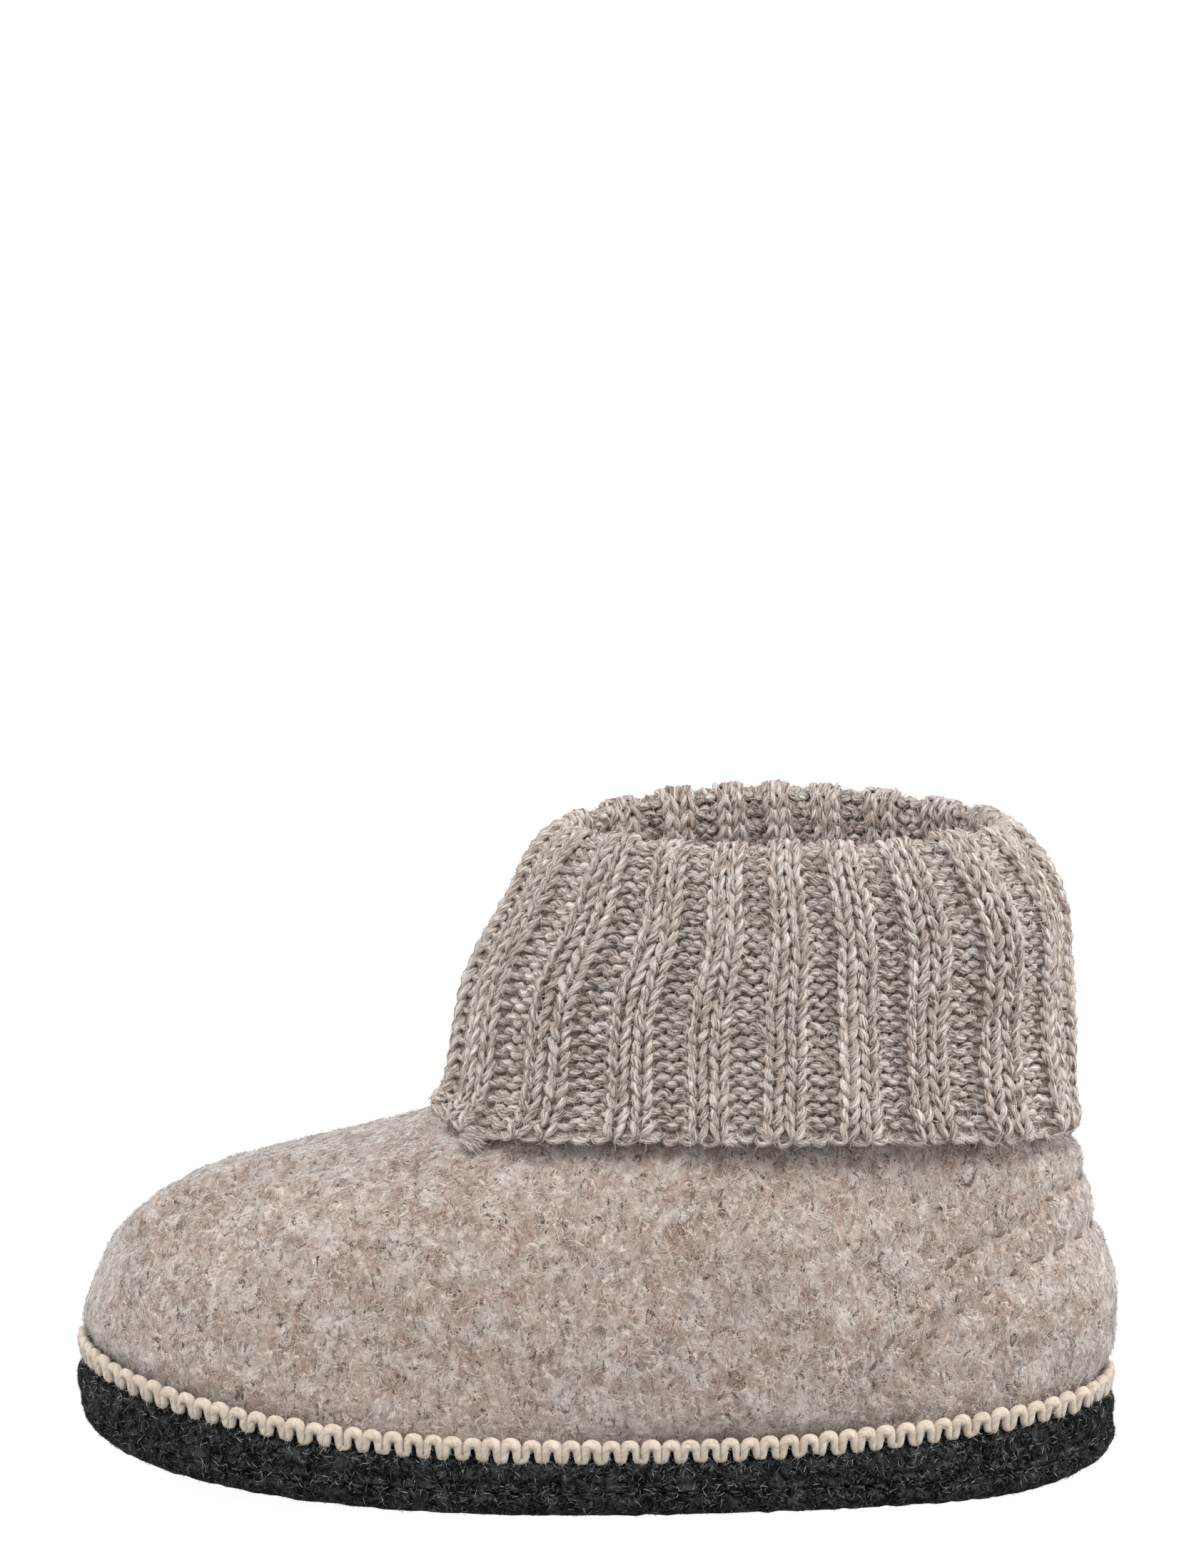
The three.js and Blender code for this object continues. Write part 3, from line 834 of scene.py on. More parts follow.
# The fold is a furrow between a low ridge and a broader one.
fold_form = sum(
    wave["height"] * np.exp(-((off_fold - wave["off"]) / wave["width"]) ** 2) for wave in TOE_FOLD_FORM)
on_top = smooth_step(outside_rings[..., 2], *TOE_FOLD_HEIGHT)
outside_rings += outside_normals * (TOE_FOLD_DEPTH * fold_form * fold_ends * on_top)[..., None]
outside_normals = ring_normals(outside_rings)
upper_points = np.concatenate([outside_rings, inside_rings[::-1]]).reshape(-1, 3)
upper_faces = ring_faces(OUTSIDE_ROWS + INSIDE_ROWS, SOLE_STATIONS, is_loop=True)
boiled_wool = felt_material(
    "boiled_wool",
    {
        "Dark": (76, 62, 54), "Middle": (160, 143, 132), "Light": (191, 183, 178),
        "Fleck": (145, 115, 99), "Hair And Highlight": (197, 185, 176),
    },
    patch_scale=140,
    fibre_scale=500,
    fleck_share=0.85,
    bump_depth=0.0009,
    sheen=0.7,
)
upper_piece = make_piece("upper_wool", upper_points, upper_faces, boiled_wool)
add_map(upper_piece, "OFBake", flat_map(OUTSIDE_ROWS + INSIDE_ROWS, SOLE_STATIONS))
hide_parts("upper")

wool_nap = fibre_material("wool_nap", (98, 79, 68), (156, 139, 128), (181, 170, 161), (206, 198, 191))
nap_draw = np.random.default_rng(33)
shown_wool = (outside_rings[..., 2] < COLLAR_HEIGHT - NAP_STOP_BELOW_COLLAR).astype(float)


def wool_shades(spots, spread):
    """Shades that drift over the felt in small tufts and larger clouds."""
    shade = 0.5 + spread * nap_draw.normal(size=len(spots))
    for drift in SHADE_DRIFT:
        shade = shade + drift["share"] * soft_noise(spots, drift["size"], drift["seed"])
    return np.clip(shade, 0, 1)


def scatter_wool(count, keep):
    return scatter(outside_rings[1:], outside_normals[1:], count, nap_draw, keep[1:])


def lay_wool(name, spots, normals, sizes, heading, tint):
    lay_fibres(name, spots, normals, sizes, nap_draw, wool_nap, heading, tint)


for nap_name, nap in NAP_KINDS.items():
    nap_spots, nap_normals = scatter_wool(nap["count"], shown_wool)
    nap_heading = np.stack([soft_noise(nap_spots, NAP_LOCK_SIZE, seed) for seed in NAP_LOCK_SEEDS], axis=1)
    nap_heading = (nap_heading + nap_draw.normal(0, NAP_STRAY, (nap["count"], 3))) * NAP_UPRIGHT
    lay_wool(nap_name, nap_spots, nap_normals, nap, nap_heading, wool_shades(nap_spots, nap["spread"]))

seam_rise = outside_rings[..., 2] - outside_rings[:1, :, 2]
near_seam = (seam_rise < FRINGE["height"]).astype(float)
fringe_spots, fringe_normals = scatter_wool(FRINGE["count"], near_seam)
fringe_heading = np.array([0, 0, -1]) + nap_draw.normal(0, NAP_STRAY, (FRINGE["count"], 3))
fringe_shades = wool_shades(fringe_spots, FRINGE["spread"])
lay_wool("seam_fringe", fringe_spots, fringe_normals, FRINGE, fringe_heading, fringe_shades)

tuft_place = place(*TUFT["spot"])
tuft_offset = np.linalg.norm(outside_rings - tuft_place, axis=-1)
tuft_facing = outside_normals.reshape(-1, 3)[np.argmin(tuft_offset)]
tuft_spots = tuft_place + nap_draw.normal(0, TUFT["scatter"], (TUFT["count"], 3))
tuft_normals = np.repeat(tuft_facing[None], TUFT["count"], axis=0)
tuft_heading = np.array(TUFT["heading"]) + nap_draw.normal(0, TUFT["stray"], (TUFT["count"], 3))
tuft_shades = nap_draw.uniform(*TUFT["shades"], TUFT["count"])
lay_wool("hem_tuft", tuft_spots, tuft_normals, TUFT, tuft_heading, tuft_shades)


def heel_stitch_paths():
    """Short stitches along both rows at the heel, first over the outer side and then over the inner."""
    def read_line(line, run, spots):
        return np.stack([np.interp(spots, run, line[:, k]) for k in range(3)], axis=1)

    paths = []
    facings = []
    half = SOLE_STATIONS // 2
    seam_along, seam_across = inset_point(sole_turns, SEAM_INSET)
    seam_angle = np.degrees(np.arctan2(np.abs(seam_across), ANKLE_ALONG - seam_along))
    for heel_row in HEEL_ROWS.values():
        last_angle = heel_row["angle"][-1] - HEEL_LINE_TRIM[1]
        angles = np.linspace(HEEL_LINE_TRIM[0], last_angle, HEEL_LINE_POINTS)
        heights = read_column(heel_row, "angle", "height", angles)
        for way in (1, -1):
            columns = np.arange(half) if way == 1 else (SOLE_STATIONS - np.arange(half)) % SOLE_STATIONS
            column = np.interp(angles, seam_angle[columns], np.arange(half))
            line = []
            facing = []
            for at, height in zip(column, heights):
                low = int(at)
                share = at - low
                pair = columns[low], columns[min(low + 1, half - 1)]
                ring = outside_rings[:, pair[0]] * (1 - share) + outside_rings[:, pair[1]] * share
                normal = outside_normals[:, pair[0]] * (1 - share) + outside_normals[:, pair[1]] * share
                line.append([np.interp(height, ring[:, 2], ring[:, k]) for k in range(3)])
                facing.append([np.interp(height, ring[:, 2], normal[:, k]) for k in range(3)])
            line = np.array(line)
            run = run_along(line)
            for start in np.arange(HEEL_STITCH_PITCH / 2, run[-1] - HEEL_STITCH_PITCH, HEEL_STITCH_PITCH):
                begin = start + nap_draw.uniform(-1, 1) * HEEL_STITCH_WANDER
                reach = nap_draw.uniform(*HEEL_STITCH_REACH) * HEEL_STITCH_SHARE * HEEL_STITCH_PITCH
                spots = begin + np.linspace(0, reach, LOCK_STITCH_POINTS)
                paths.append(read_line(line, run, spots))
                facings.append(read_line(np.array(facing), run, spots))
    return np.array(paths), unit(np.array(facings))


heel_paths, heel_facings = heel_stitch_paths()
heel_sag = np.sin(np.linspace(HEEL_SAG_START, math.pi - HEEL_SAG_START, LOCK_STITCH_POINTS))
heel_paths = heel_paths + heel_facings * (heel_sag * HEEL_STITCH_ARCH - HEEL_STITCH_BED)[:, None]
heel_girth = HEEL_STITCH_END + (1 - HEEL_STITCH_END) * heel_sag
heel_radii = np.broadcast_to(HEEL_STITCH_RADIUS * heel_girth, heel_paths.shape[:2])
taupe_thread = felt_material(
    "taupe_thread",
    {
        "Dark": (94, 76, 67), "Middle": (118, 98, 87), "Light": (141, 121, 109),
        "Fleck": (90, 66, 54), "Hair And Highlight": (158, 141, 130),
    },
    bump_depth=0.0004,
    **THREAD_GRAIN,
)
yarn_piece(
    "heel_stitch", heel_paths, heel_facings, heel_radii, LOCK_STITCH_SIDES, False,
    taupe_thread, bake_rows=8)

# Edge stitch: plump cream wool yarn, overcast around the seam between sole and upper.
# Each stitch arches over the felt's edge and comes down in a tooth, where it meets the next one.
EDGE_STITCH_PITCH = 4.9
EDGE_STITCH_INSET = 2.15
EDGE_STITCH = {
    "across": (-0.5, -0.35, -0.31, -0.29, -0.19, 0, 0.19, 0.29, 0.31, 0.35),
    "up": (-2.6, -2.4, -1.1, 0.2, 1.2, 1.4, 1.2, 0.2, -1.1, -2.4),
    "out": (0.1, 0.3, 0.45, 0.5, 0.45, 0.4, 0.45, 0.5, 0.45, 0.3),
    "radius": (0.8, 0.95, 1.07, 1.22, 1.42, 1.5, 1.42, 1.22, 1.07, 0.95),
}
EDGE_YARN_SIDES = 7
YARN_RELIEF = 0.9
EDGE_SPREAD = {"place": 0.035, "size": 0.07, "out": 0.05, "girth": 0.05}
EDGE_FUZZ = {
    "count": 6000, "stray": 0.5,
    "length": (0.8, 2.2), "bend": 0.8, "lift": 0.4, "width": 0.1, "bed": 0.02,
}


def make_plied_yarn():
    """Yarn: strands twisted around each other, with tone that drifts from place to place and streaks along it
    that follow their own relief: painted shade where a streak sinks and painted highlight where it stands up.
    """
    shades = ("Dark", "Middle", "Light", "Palest")
    outputs = {"Color": "NodeSocketColor", "Height": "NodeSocketFloat"}
    group, given = new_group("plied_yarn", shades, ("Plies", "Twist", "Streak"), outputs)
    run = add_node(group, "ShaderNodeUVMap", uv_map="yarn")
    parts = add_node(group, "ShaderNodeSeparateXYZ", {0: run.outputs["UV"]})
    twisted = work(group, "MULTIPLY", parts.outputs["X"], given["Twist"])
    angle = work(group, "MULTIPLY", work(group, "ADD", parts.outputs["Y"], twisted), FULL_TURN)
    half_angle = work(group, "MULTIPLY", angle, 0.5)
    strand = work(group, "ABSOLUTE", work(group, "SINE", work(group, "MULTIPLY", half_angle, given["Plies"])))
    streak_spot = add_node(group, "ShaderNodeCombineXYZ", {
        "X": work(group, "MULTIPLY", parts.outputs["X"], given["Streak"]),
        "Y": work(group, "COSINE", angle),
        "Z": work(group, "SINE", angle),
    })
    streak = noise(group, streak_spot.outputs[0], 1.8, 4, Roughness=0.62)
    spots = add_node(group, "ShaderNodeTexCoord").outputs["Object"]
    blended = noise(group, spots, 170, 3, Roughness=0.6)
    base = mix_colours(group, stretch(group, blended, 0.38, 0.62), given["Middle"], given["Light"])
    # Painted shade and highlight: the streak relief is painted dark where it sinks and palest where it stands
    # up.
    shaded = mix_colours(group, stretch(group, streak, 0.5, 0.39), base, given["Dark"])
    colour = mix_colours(group, stretch(group, streak, 0.53, 0.65), shaded, given["Palest"])
    height = work(group, "ADD", work(group, "MULTIPLY", strand, 0.6), streak)
    add_node(group, "NodeGroupOutput", {"Color": colour, "Height": height})
    return group


plied_yarn = make_plied_yarn()


def yarn_material(name, colours, plies, twist, streak, bump_depth, sheen):
    """Wool yarn from the shared yarn group, with its own shades and twist."""
    values = {"Plies": plies, "Twist": twist, "Streak": streak}
    finish = {"Roughness": 0.9, "Specular IOR Level": 0.15, "Sheen Weight": sheen}
    material, yarn, shader = wool_material(name, plied_yarn, colours, values, finish)
    add_relief(material, shader, yarn.outputs["Height"], YARN_RELIEF, bump_depth)
    return material


def as_arrays(table):
    return {column: np.array(values, float) for column, values in table.items()}


def curve_through(controls, closing=0):
    """A closed smooth curve with one point added between each two; closing is what a whole round adds."""
    before = np.concatenate([controls[:, -1:] - closing, controls[:, :-1]], axis=1)
    after = np.concatenate([controls[:, 1:], controls[:, :1] + closing], axis=1)
    beyond = np.concatenate([controls[:, 2:], controls[:, :2] + closing], axis=1)
    between = (9 * (controls + after) - before - beyond) / 16
    return np.stack([controls, between], axis=2).reshape(len(controls), -1, *controls.shape[2:])


seam_line = sole_ring(sole_turns, lambda along: EDGE_STITCH_INSET + 0 * along, seam_height)
seam_reach_along = run_around(seam_line)
edge_stitch_count = round(seam_reach_along[-1] / EDGE_STITCH_PITCH)
edge_draw = np.random.default_rng(41)
edge_shape = as_arrays(EDGE_STITCH)
edge_column = (edge_stitch_count, 1)
edge_places = np.arange(edge_stitch_count)[:, None] + edge_draw.normal(0, EDGE_SPREAD["place"], edge_column)
edge_places = (edge_places + 0.5 + edge_shape["across"]) * seam_reach_along[-1] / edge_stitch_count
edge_size = edge_draw.normal(1, EDGE_SPREAD["size"], edge_column)
edge_turns = np.interp(edge_places.ravel(), seam_reach_along, np.append(sole_turns, FULL_TURN))
edge_up = (edge_shape["up"] * edge_size).ravel()
edge_out = (edge_shape["out"] + edge_draw.normal(0, EDGE_SPREAD["out"], edge_places.shape)).ravel()
edge_controls, edge_backs = (
    sole_ring(
        edge_turns,
        lambda along: EDGE_STITCH_INSET - edge_out + set_back,
        lambda along: seam_height(along) + edge_up,
    )
    for set_back in (0, 1)
)
edge_facing = edge_controls - edge_backs
edge_radii = (edge_shape["radius"] * edge_draw.normal(1, EDGE_SPREAD["girth"], edge_column)).ravel()
edge_outward = unit(curve_through(edge_facing[None]))
cream_yarn = yarn_material(
    "cream_yarn",
    {
        "Dark": (182, 167, 150), "Middle": (194, 180, 164),
        "Light": (200, 187, 172), "Palest": (207, 195, 181),
    },
    plies=2,
    twist=0.16,
    streak=0.22,
    bump_depth=0.00025,
    sheen=0.4,
)
edge_piece, edge_points, edge_spokes, edge_ahead = yarn_piece(
    "edge_yarn", curve_through(edge_controls[None]), edge_outward, curve_through(edge_radii[None]),
    EDGE_YARN_SIDES, True, cream_yarn, bake_rows=24)
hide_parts("edge_stitch")

cream_hair = fibre_material("cream_hair", (166, 148, 129), (190, 175, 157), (203, 190, 174), (218, 207, 193))
shown_edge = np.flatnonzero((edge_spokes * edge_outward[:, :, None]).sum(axis=-1).ravel() > 0)
edge_chosen = edge_draw.choice(shown_edge, EDGE_FUZZ["count"])
edge_way = np.repeat(edge_ahead[:, :, None], EDGE_YARN_SIDES, axis=2).reshape(-1, 3)[edge_chosen]
edge_heading = edge_way + edge_draw.normal(0, EDGE_FUZZ["stray"], (EDGE_FUZZ["count"], 3))
edge_spots = edge_points.reshape(-1, 3)[edge_chosen]
edge_normals = edge_spokes.reshape(-1, 3)[edge_chosen]
lay_fibres(
    "edge_fuzz", edge_spots, edge_normals, EDGE_FUZZ, edge_draw, cream_hair, edge_heading)

# Cuff: a two by two rib knit of plied grey-taupe wool, knitted as a tube, joined to the collar and turned
# down outside over the upper. Every stitch is a loop of yarn that is pulled through the one below it.
RIB_COUNT = 20
RIB_CREST = 1.2
RIB_VALLEY = 1.5
RIB_SHOULDER = (0.22, 0.36)
WALE_EDGES = (-0.29, 0, 0.29, 0.5, 0.71)
WALE_SIGNS = (1, 1, -1, -1)
CUFF_LEVELS = {
    "level": tuple(range(9)),
    "back": (21.8, 24, 28.5, 30.5, 23.5, 16.2, 14.2, 13.3, 10.4),
    "front": (159.2, 151.5, 141.5, 140, 146.5, 153, 162.4, 167.2, 173),
    "half": (34.2, 33, 31, 33, 38, 40, 42, 44.6, 46.9),
    "z_back": (104.6, 130, 152, 165, 160, 145.5, 127, 102.5, 88.8),
    "z_side": (104.6, 130, 153, 168, 162, 146, 127, 106.5, 94),
    "z_front": (104.9, 130, 151.5, 164.5, 159.5, 145, 126, 100.5, 93.8),
    "sag": (0, 0, 0, 0, 0, 0, 0, 1, 2.3),
    "dip": (0, 0, 1.2, 1.8, 1.5, 0.6, 0, 0, 0),
}
FOLD_LEVEL = 3
HEM_LEVEL = CUFF_LEVELS["level"][-1]
HEM_STEP = 0.02
CLIMB_STEPS = 320
CLIMB_LINES = 24
COURSE_HEIGHT = 3.55
YARN_RADIUS = 0.94
STITCH = {
    "across": (-0.5, -0.11, -0.22, -0.33, 0, 0.33, 0.22, 0.11),
    "knit_up": (-0.32, -0.08, 0.44, 1.04, 1.4, 1.04, 0.44, -0.08),
    "knit_out": (-1, 0.1, 0.95, 0.35, -0.9, 0.35, 0.95, 0.1),
    "purl_up": (-0.18, -0.04, 0.44, 1.17, 1.24, 1.17, 0.44, -0.04),
    "purl_out": (1, 0.1, -0.95, 0.4, 1, 0.4, -0.95, 0.1),
    "knit_girth": (0.82, 0.9, 1.16, 1.05, 0.82, 1.05, 1.16, 0.9),
    "purl_girth": (1.14, 0.95, 0.88, 1.1, 1.18, 1.1, 0.88, 0.95),
}
STITCH_LOOSENESS = {"knit": 0.05, "purl": 0.07}
LOOSE_ACROSS = 0.8
LOOSE_OUT = 2.2
GIRTH_SPREAD = 0.09
COURSE_SEAT = 0.45
CAST_ON = {
    "across": (-0.5, -0.28, 0, 0.28),
    "up": (0.75, 0.62, 0.5, 0.62),
    "out": (-1, -0.8, -0.6, -0.8),
}
CAST_ON_SPREAD = {"up": 0.07, "out": 0.2, "girth": 0.08}
CAST_ON_GIRTH = 1.05
COURSES_PAST_FOLD = 4
COURSES_SHORT_OF_COLLAR = 1.4
SAG_PEAK = 27 / 4
CREST_EASE = 0.6
CREST_SPAN = 9
RIB_DRIFT = 0.07
RIB_DRIFT_SIZE = 55
RIB_UPRIGHT = 0.34
RIB_UPRIGHT_SPAN = 58
CUFF_SLACK = 0.8
CUFF_SLACK_SIZE = 40
OUTSIDE_SIDES = 5
INSIDE_SIDES = 4
BACKING_DEPTH = 0.35
BACKING_START = 1.2
BACKING_STOP = 1
BACKING_COLUMNS = 260
BACKING_ROWS = 40
COLLAR_TUCK = 0.8
HALO_KINDS = {
    "knit_fuzz": {"count": 40000, "length": (1, 3), "bend": 0.7, "lift": 0.6, "width": 0.13, "bed": 0.02},
    "knit_halo": {"count": 14000, "length": (2, 5), "bend": 0.8, "lift": 1.3, "width": 0.07, "bed": 0.02},
}
HALO_STRAY = 0.6
FUZZ_FACING = 0.1


def cuff_middle(share, level):
    """A point of the knit's middle; share goes once around from the front over the outer side."""
    def read(column):
        return read_column(CUFF_LEVELS, "level", column, level)

    hem_length = (CUFF_LEVELS["front"][HEM_LEVEL] - CUFF_LEVELS["back"][HEM_LEVEL]) / 2
    hem_half = CUFF_LEVELS["half"][HEM_LEVEL]
    evening = (hem_length - hem_half) / (hem_length + hem_half) / 2
    angle = share * FULL_TURN + evening * np.sin(2 * share * FULL_TURN)
    front = np.maximum(0, np.cos(angle)) ** 2
    back = np.maximum(0, -np.cos(angle)) ** 2
    along = (read("front") + read("back")) / 2 + (read("front") - read("back")) / 2 * np.cos(angle)
    height = front * read("z_front") + back * read("z_back") + (1 - front - back) * read("z_side")
    height = height - read("sag") * SAG_PEAK * front * front * (1 - front)
    height = height - read("dip") * np.maximum(0, np.sin(angle)) ** 2
    return place(along, -read("half") * np.sin(angle), height)


def cuff_outward(share, level):
    step = 0.002
    around = cuff_middle(share + step, level) - cuff_middle(share - step, level)
    before = cuff_middle(share, np.maximum(level - step, 0))
    after = cuff_middle(share, np.minimum(level + step, HEM_LEVEL))
    return unit(np.cross(after - before, around))


fine_levels = np.linspace(HEM_LEVEL, 0, CLIMB_STEPS + 1)
fine_shares = np.linspace(0, 1, CLIMB_LINES, endpoint=False)
fine_lines = cuff_middle(fine_shares[:, None], fine_levels[None, :])
fine_climb = np.linalg.norm(np.diff(fine_lines, axis=1), axis=-1).mean(axis=0)
climb_from_hem = np.concatenate([[0], np.cumsum(fine_climb)])
fold_climb = np.interp(-FOLD_LEVEL, -fine_levels, climb_from_hem)
knit_draw = np.random.default_rng(51)


def knit_face(place_in_ribs, climb):
    """The knit's face: two wales forward and two back in each rib, flatter at the fold, with some slack."""
    level = np.interp(climb, climb_from_hem, fine_levels)
    even = cuff_middle(place_in_ribs / RIB_COUNT, level)
    upright = RIB_UPRIGHT * np.clip(1 - climb / RIB_UPRIGHT_SPAN, 0, 1)
    upright = upright * np.sin(place_in_ribs / RIB_COUNT * FULL_TURN)
    drift = RIB_DRIFT * soft_noise(even, RIB_DRIFT_SIZE, seed=53)
    share = (place_in_ribs + upright + drift) / RIB_COUNT
    outward = cuff_outward(share, level)
    off_crest = np.abs((place_in_ribs + 0.5) % 1 - 0.5)
    relief = RIB_CREST - (RIB_CREST + RIB_VALLEY) * smooth_step(off_crest, *RIB_SHOULDER)
    relief = relief * (1 - CREST_EASE * np.exp(-((climb - fold_climb) / CREST_SPAN) ** 2))
    relief = relief + CUFF_SLACK * soft_noise(even, CUFF_SLACK_SIZE, seed=52)
    hem = np.full_like(share, HEM_LEVEL)
    hem_rise = unit(cuff_middle(share, hem - HEM_STEP) - cuff_middle(share, hem))
    below_hem = hem_rise * np.minimum(climb, 0)[..., None]
    return cuff_middle(share, level) + below_hem + outward * relief[..., None], outward


def lay_yarn(name, line, sides):
    """Yarn along lines given as place in ribs, courses above the hem, yarn radii outward and girth."""
    face, outward = knit_face(line[..., 0], line[..., 1] * COURSE_HEIGHT)
    paths = face + outward * (line[..., 2] * YARN_RADIUS)[..., None]
    radii = YARN_RADIUS * line[..., 3]
    piece, points, spokes, ahead = yarn_piece(
        name, paths, outward, radii, sides, True, rib_knit, bake_rows=len(line))
    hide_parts("cuff")
    return points, spokes, ahead, outward


def smooth_course(controls):
    """Adds a point between each two controls of courses that close after the last rib."""
    return curve_through(controls, np.array([RIB_COUNT, 0, 0, 0]))


stitch_ribs, stitch_wales = np.divmod(np.arange(RIB_COUNT * len(WALE_SIGNS)), len(WALE_SIGNS))
wale_starts = (stitch_ribs + np.array(WALE_EDGES)[stitch_wales])[:, None]
wale_widths = np.diff(WALE_EDGES)[stitch_wales][:, None]


def knit_courses(first, last):
    """Control points of the courses from one height above the hem to another."""
    course = np.arange(first, last)[:, None, None]
    shape = as_arrays(STITCH)
    sign = np.array(WALE_SIGNS, float)[stitch_wales]
    is_knit = sign[:, None] > 0
    out = np.where(is_knit, shape["knit_out"], shape["purl_out"])
    out[:, 0] = -(sign + np.roll(sign, 1)) / 2
    rise = np.where(is_knit, shape["knit_up"], shape["purl_up"])
    size = (last - first, *rise.shape)
    loose = np.where(is_knit, STITCH_LOOSENESS["knit"], STITCH_LOOSENESS["purl"])
    off_middle = shape["across"] + loose * knit_draw.normal(0, LOOSE_ACROSS, size)
    across = wale_starts + wale_widths * (0.5 + off_middle)
    up = course + COURSE_SEAT + rise + loose * knit_draw.normal(0, 1, size)
    out = out[None] + loose * knit_draw.normal(0, LOOSE_OUT, size)
    girth = np.where(is_knit, shape["knit_girth"], shape["purl_girth"])
    girth = girth * knit_draw.normal(1, GIRTH_SPREAD, (size[0], size[1], 1))
    return np.stack([across, up, out, girth], axis=-1).reshape(size[0], -1, 4)


rib_knit = yarn_material(
    "rib_knit",
    {
        "Dark": (112, 94, 83), "Middle": (187, 169, 154),
        "Light": (206, 197, 190), "Palest": (236, 229, 220),
    },
    plies=2,
    twist=0.05,
    streak=0.18,
    bump_depth=0.0012,
    sheen=0.3,
)
fold_course = round(fold_climb / COURSE_HEIGHT)
last_course = int(climb_from_hem[-1] / COURSE_HEIGHT - COURSES_SHORT_OF_COLLAR)
low_courses = fold_course // 2 + 1
turned_in = fold_course + COURSES_PAST_FOLD
low_points, low_spokes, low_ahead, low_face = lay_yarn(
    "cuff_knit_low", smooth_course(knit_courses(0, low_courses)), OUTSIDE_SIDES)
high_points, high_spokes, high_ahead, high_face = lay_yarn(
    "cuff_knit_high", smooth_course(knit_courses(low_courses, turned_in)), OUTSIDE_SIDES)
lay_yarn("cuff_knit_inside", knit_courses(turned_in, last_course), INSIDE_SIDES)

cast_on_shape = as_arrays(CAST_ON)
cast_on_size = (len(stitch_wales), len(CAST_ON["up"]))
cast_on = np.stack([
    wale_starts + wale_widths * (0.5 + cast_on_shape["across"]),
    cast_on_shape["up"] + knit_draw.normal(0, CAST_ON_SPREAD["up"], cast_on_size),
    cast_on_shape["out"] + knit_draw.normal(0, CAST_ON_SPREAD["out"], cast_on_size),
    knit_draw.normal(CAST_ON_GIRTH, CAST_ON_SPREAD["girth"], cast_on_size),
], axis=-1).reshape(-1, 4)
lay_yarn("cuff_cast_on", smooth_course(cast_on[None]), OUTSIDE_SIDES)

# Backing: a felt sheet just behind the yarns that closes the gaps between stitches like the fuzz inside the
# knit; its darker colour is painted shade in those gaps.
backing_climb = np.linspace(BACKING_START, climb_from_hem[-1] - BACKING_STOP, BACKING_ROWS)[:, None]
backing_places = np.arange(BACKING_COLUMNS) / BACKING_COLUMNS * RIB_COUNT
backing_rings, backing_outward = knit_face(*np.broadcast_arrays(backing_places, backing_climb))
backing_rings = backing_rings - backing_outward * BACKING_DEPTH
sewn_ring = cuff_middle(backing_places / RIB_COUNT, np.zeros(BACKING_COLUMNS))
sewn_ring[:, 2] = COLLAR_HEIGHT - COLLAR_TUCK
backing_rings = np.concatenate([backing_rings, sewn_ring[None]])
knit_shadow = felt_material(
    "knit_shadow",
    {
        "Dark": (106, 90, 80), "Middle": (148, 131, 119), "Light": (176, 162, 151),
        "Fleck": (132, 106, 90), "Hair And Highlight": (188, 176, 166),
    },
    patch_scale=200,
    fibre_scale=1300,
    fleck_share=0.4,
    bump_depth=0.0008,
    sheen=0.05,
)
backing_faces = ring_faces(len(backing_rings), BACKING_COLUMNS)
backing_piece = make_piece(
    "cuff_back_fuzz_shade", backing_rings.reshape(-1, 3), backing_faces, knit_shadow)
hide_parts("cuff")

knit_halo = fibre_material("knit_halo", (120, 102, 91), (176, 159, 147), (200, 189, 178), (224, 216, 206))
halo_draw = np.random.default_rng(61)
halo_points = np.concatenate([low_points.reshape(-1, 3), high_points.reshape(-1, 3)])
halo_out = np.concatenate([low_spokes.reshape(-1, 3), high_spokes.reshape(-1, 3)])


def for_each_side(*lines):
    """Repeats what belongs to a yarn's middle for each point around it."""
    repeated = [np.repeat(line[:, :, None], OUTSIDE_SIDES, axis=2) for line in lines]
    return np.concatenate([line.reshape(-1, 3) for line in repeated])


halo_way = for_each_side(low_ahead, high_ahead)
halo_face = for_each_side(low_face, high_face)
shown_yarn = np.flatnonzero((halo_out * halo_face).sum(axis=1) > FUZZ_FACING)
for halo_name, halo in HALO_KINDS.items():
    chosen = halo_draw.choice(shown_yarn, halo["count"])
    halo_heading = unit(halo_way[chosen] + halo_draw.normal(0, HALO_STRAY, (halo["count"], 3)))
    halo_normals = unit(halo_out[chosen] + halo_face[chosen])
    lay_fibres(
        halo_name, halo_points[chosen], halo_normals, halo, halo_draw, knit_halo, halo_heading)

# Studio: a pale floor that glows like a light table, large soft lights, and a camera on the outer side.
# The camera stands off as for a product picture, a little above the slipper, which sits low in the frame.
PICTURE_WIDTH = 1680
PICTURE_HEIGHT = 2197
SLIPPER_PIXEL = (834, 1613)
PIXELS_PER_MM = 5.55
CAMERA_DISTANCE = 1.7
CAMERA_ELEVATION = math.radians(13)
AIM_HEIGHT = 0.082
SENSOR = 36

focal_pixels = PIXELS_PER_MM / MM * CAMERA_DISTANCE
camera_data = bpy.data.cameras.new("camera")
camera_data.sensor_width = SENSOR
camera_data.lens = focal_pixels / PICTURE_HEIGHT * SENSOR
camera = add_object("camera", camera_data)
bpy.context.scene.camera = camera
drop_angle = math.atan((SLIPPER_PIXEL[1] - PICTURE_HEIGHT / 2) / focal_pixels)
side_angle = math.atan((SLIPPER_PIXEL[0] - PICTURE_WIDTH / 2) / focal_pixels)
camera.location = (
    0,
    -CAMERA_DISTANCE * math.cos(CAMERA_ELEVATION),
    AIM_HEIGHT + CAMERA_DISTANCE * math.sin(CAMERA_ELEVATION),
)
camera.rotation_euler = (math.pi / 2 - CAMERA_ELEVATION + drop_angle, 0, side_angle)

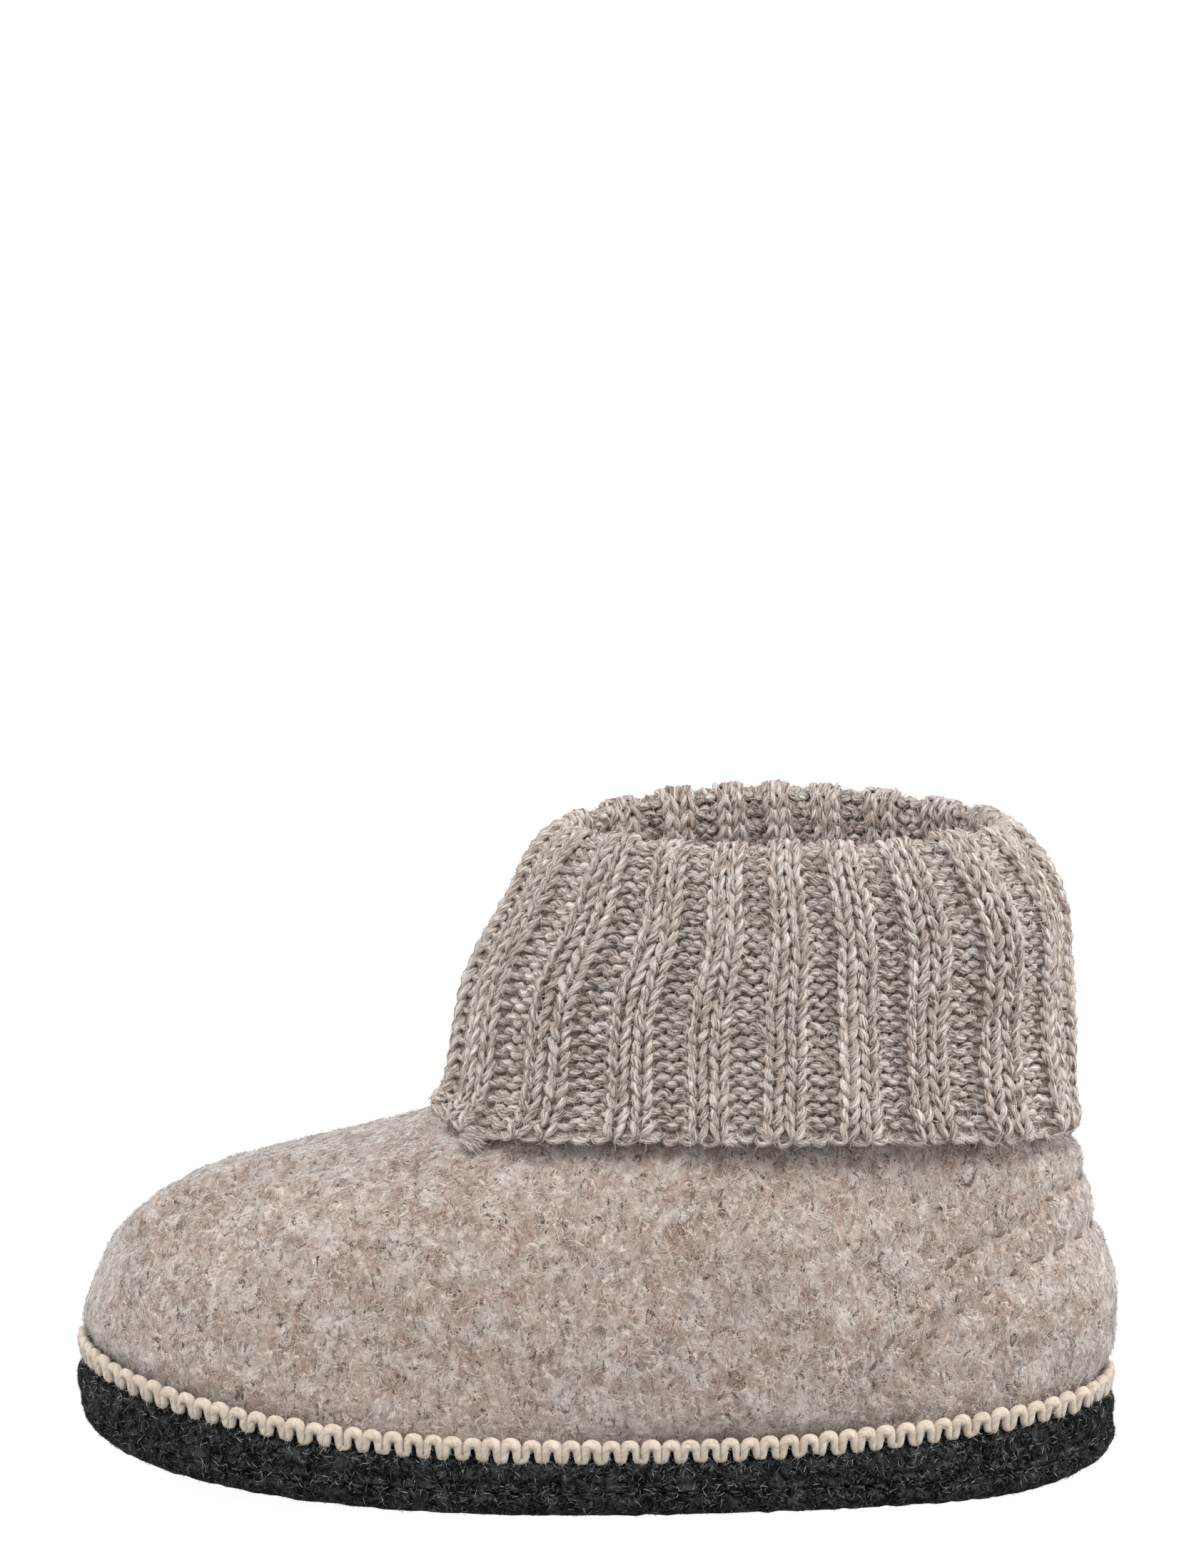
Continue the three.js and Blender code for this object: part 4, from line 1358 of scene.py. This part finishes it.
FLOOR_SIZE = 60
LIGHTS = {
    "key_light": {"strength": 2.4, "softness": 30, "comes_from": (0.05, -0.7, 1)},
    "toe_light": {"strength": 2.1, "softness": 45, "comes_from": (-1, -0.25, 0.15)},
    "back_light": {"strength": 1, "softness": 60, "comes_from": (0, 1, 0.4)},
    "heel_light": {"strength": 2.8, "softness": 45, "comes_from": (1, -0.2, 0.25)},
}
ROOM_STRENGTH = 0.48
PAPER_FINISH = {
    "Base Color": (0.08, 0.08, 0.08, 1),
    "Emission Color": (1, 1, 1, 1),
    "Emission Strength": 0.97,
    "Roughness": 0.9,
    "Specular IOR Level": 0.1,
}
PAPER_GRAIN = {"Scale": 900, "Detail": 3}
PAPER_RELIEF = 0.1
PAPER_DEPTH = 0.0001

for light_name, light in LIGHTS.items():
    lamp = bpy.data.lights.new(light_name, "SUN")
    lamp.energy = light["strength"]
    lamp.angle = math.radians(light["softness"])
    turned = Vector(light["comes_from"]).to_track_quat("Z", "Y")
    add_object(light_name, lamp).rotation_euler = turned.to_euler()

pale_paper, paper_shader = new_material("pale_paper", PAPER_FINISH)
paper_grain = add_node(pale_paper.node_tree, "ShaderNodeTexNoise", PAPER_GRAIN)
add_relief(pale_paper, paper_shader, paper_grain.outputs["Fac"], PAPER_RELIEF, PAPER_DEPTH)
floor_mesh = bpy.data.meshes.new("floor")
half_floor = FLOOR_SIZE / 2
floor_corners = [(-half_floor, -half_floor, 0), (half_floor, -half_floor, 0)]
floor_corners += [(half_floor, half_floor, 0), (-half_floor, half_floor, 0)]
floor_mesh.from_pydata(floor_corners, [], [(0, 1, 2, 3)])
floor_mesh.materials.append(pale_paper)
floor = add_object("floor", floor_mesh)
floor.visible_diffuse = False

world = bpy.data.worlds.new("studio_air")
bpy.context.scene.world = world
world.use_nodes = True
world.node_tree.nodes["Background"].inputs["Color"].default_value = (1, 1, 1, 1)
world.node_tree.nodes["Background"].inputs["Strength"].default_value = ROOM_STRENGTH
bpy.context.scene.view_settings.view_transform = "Standard"
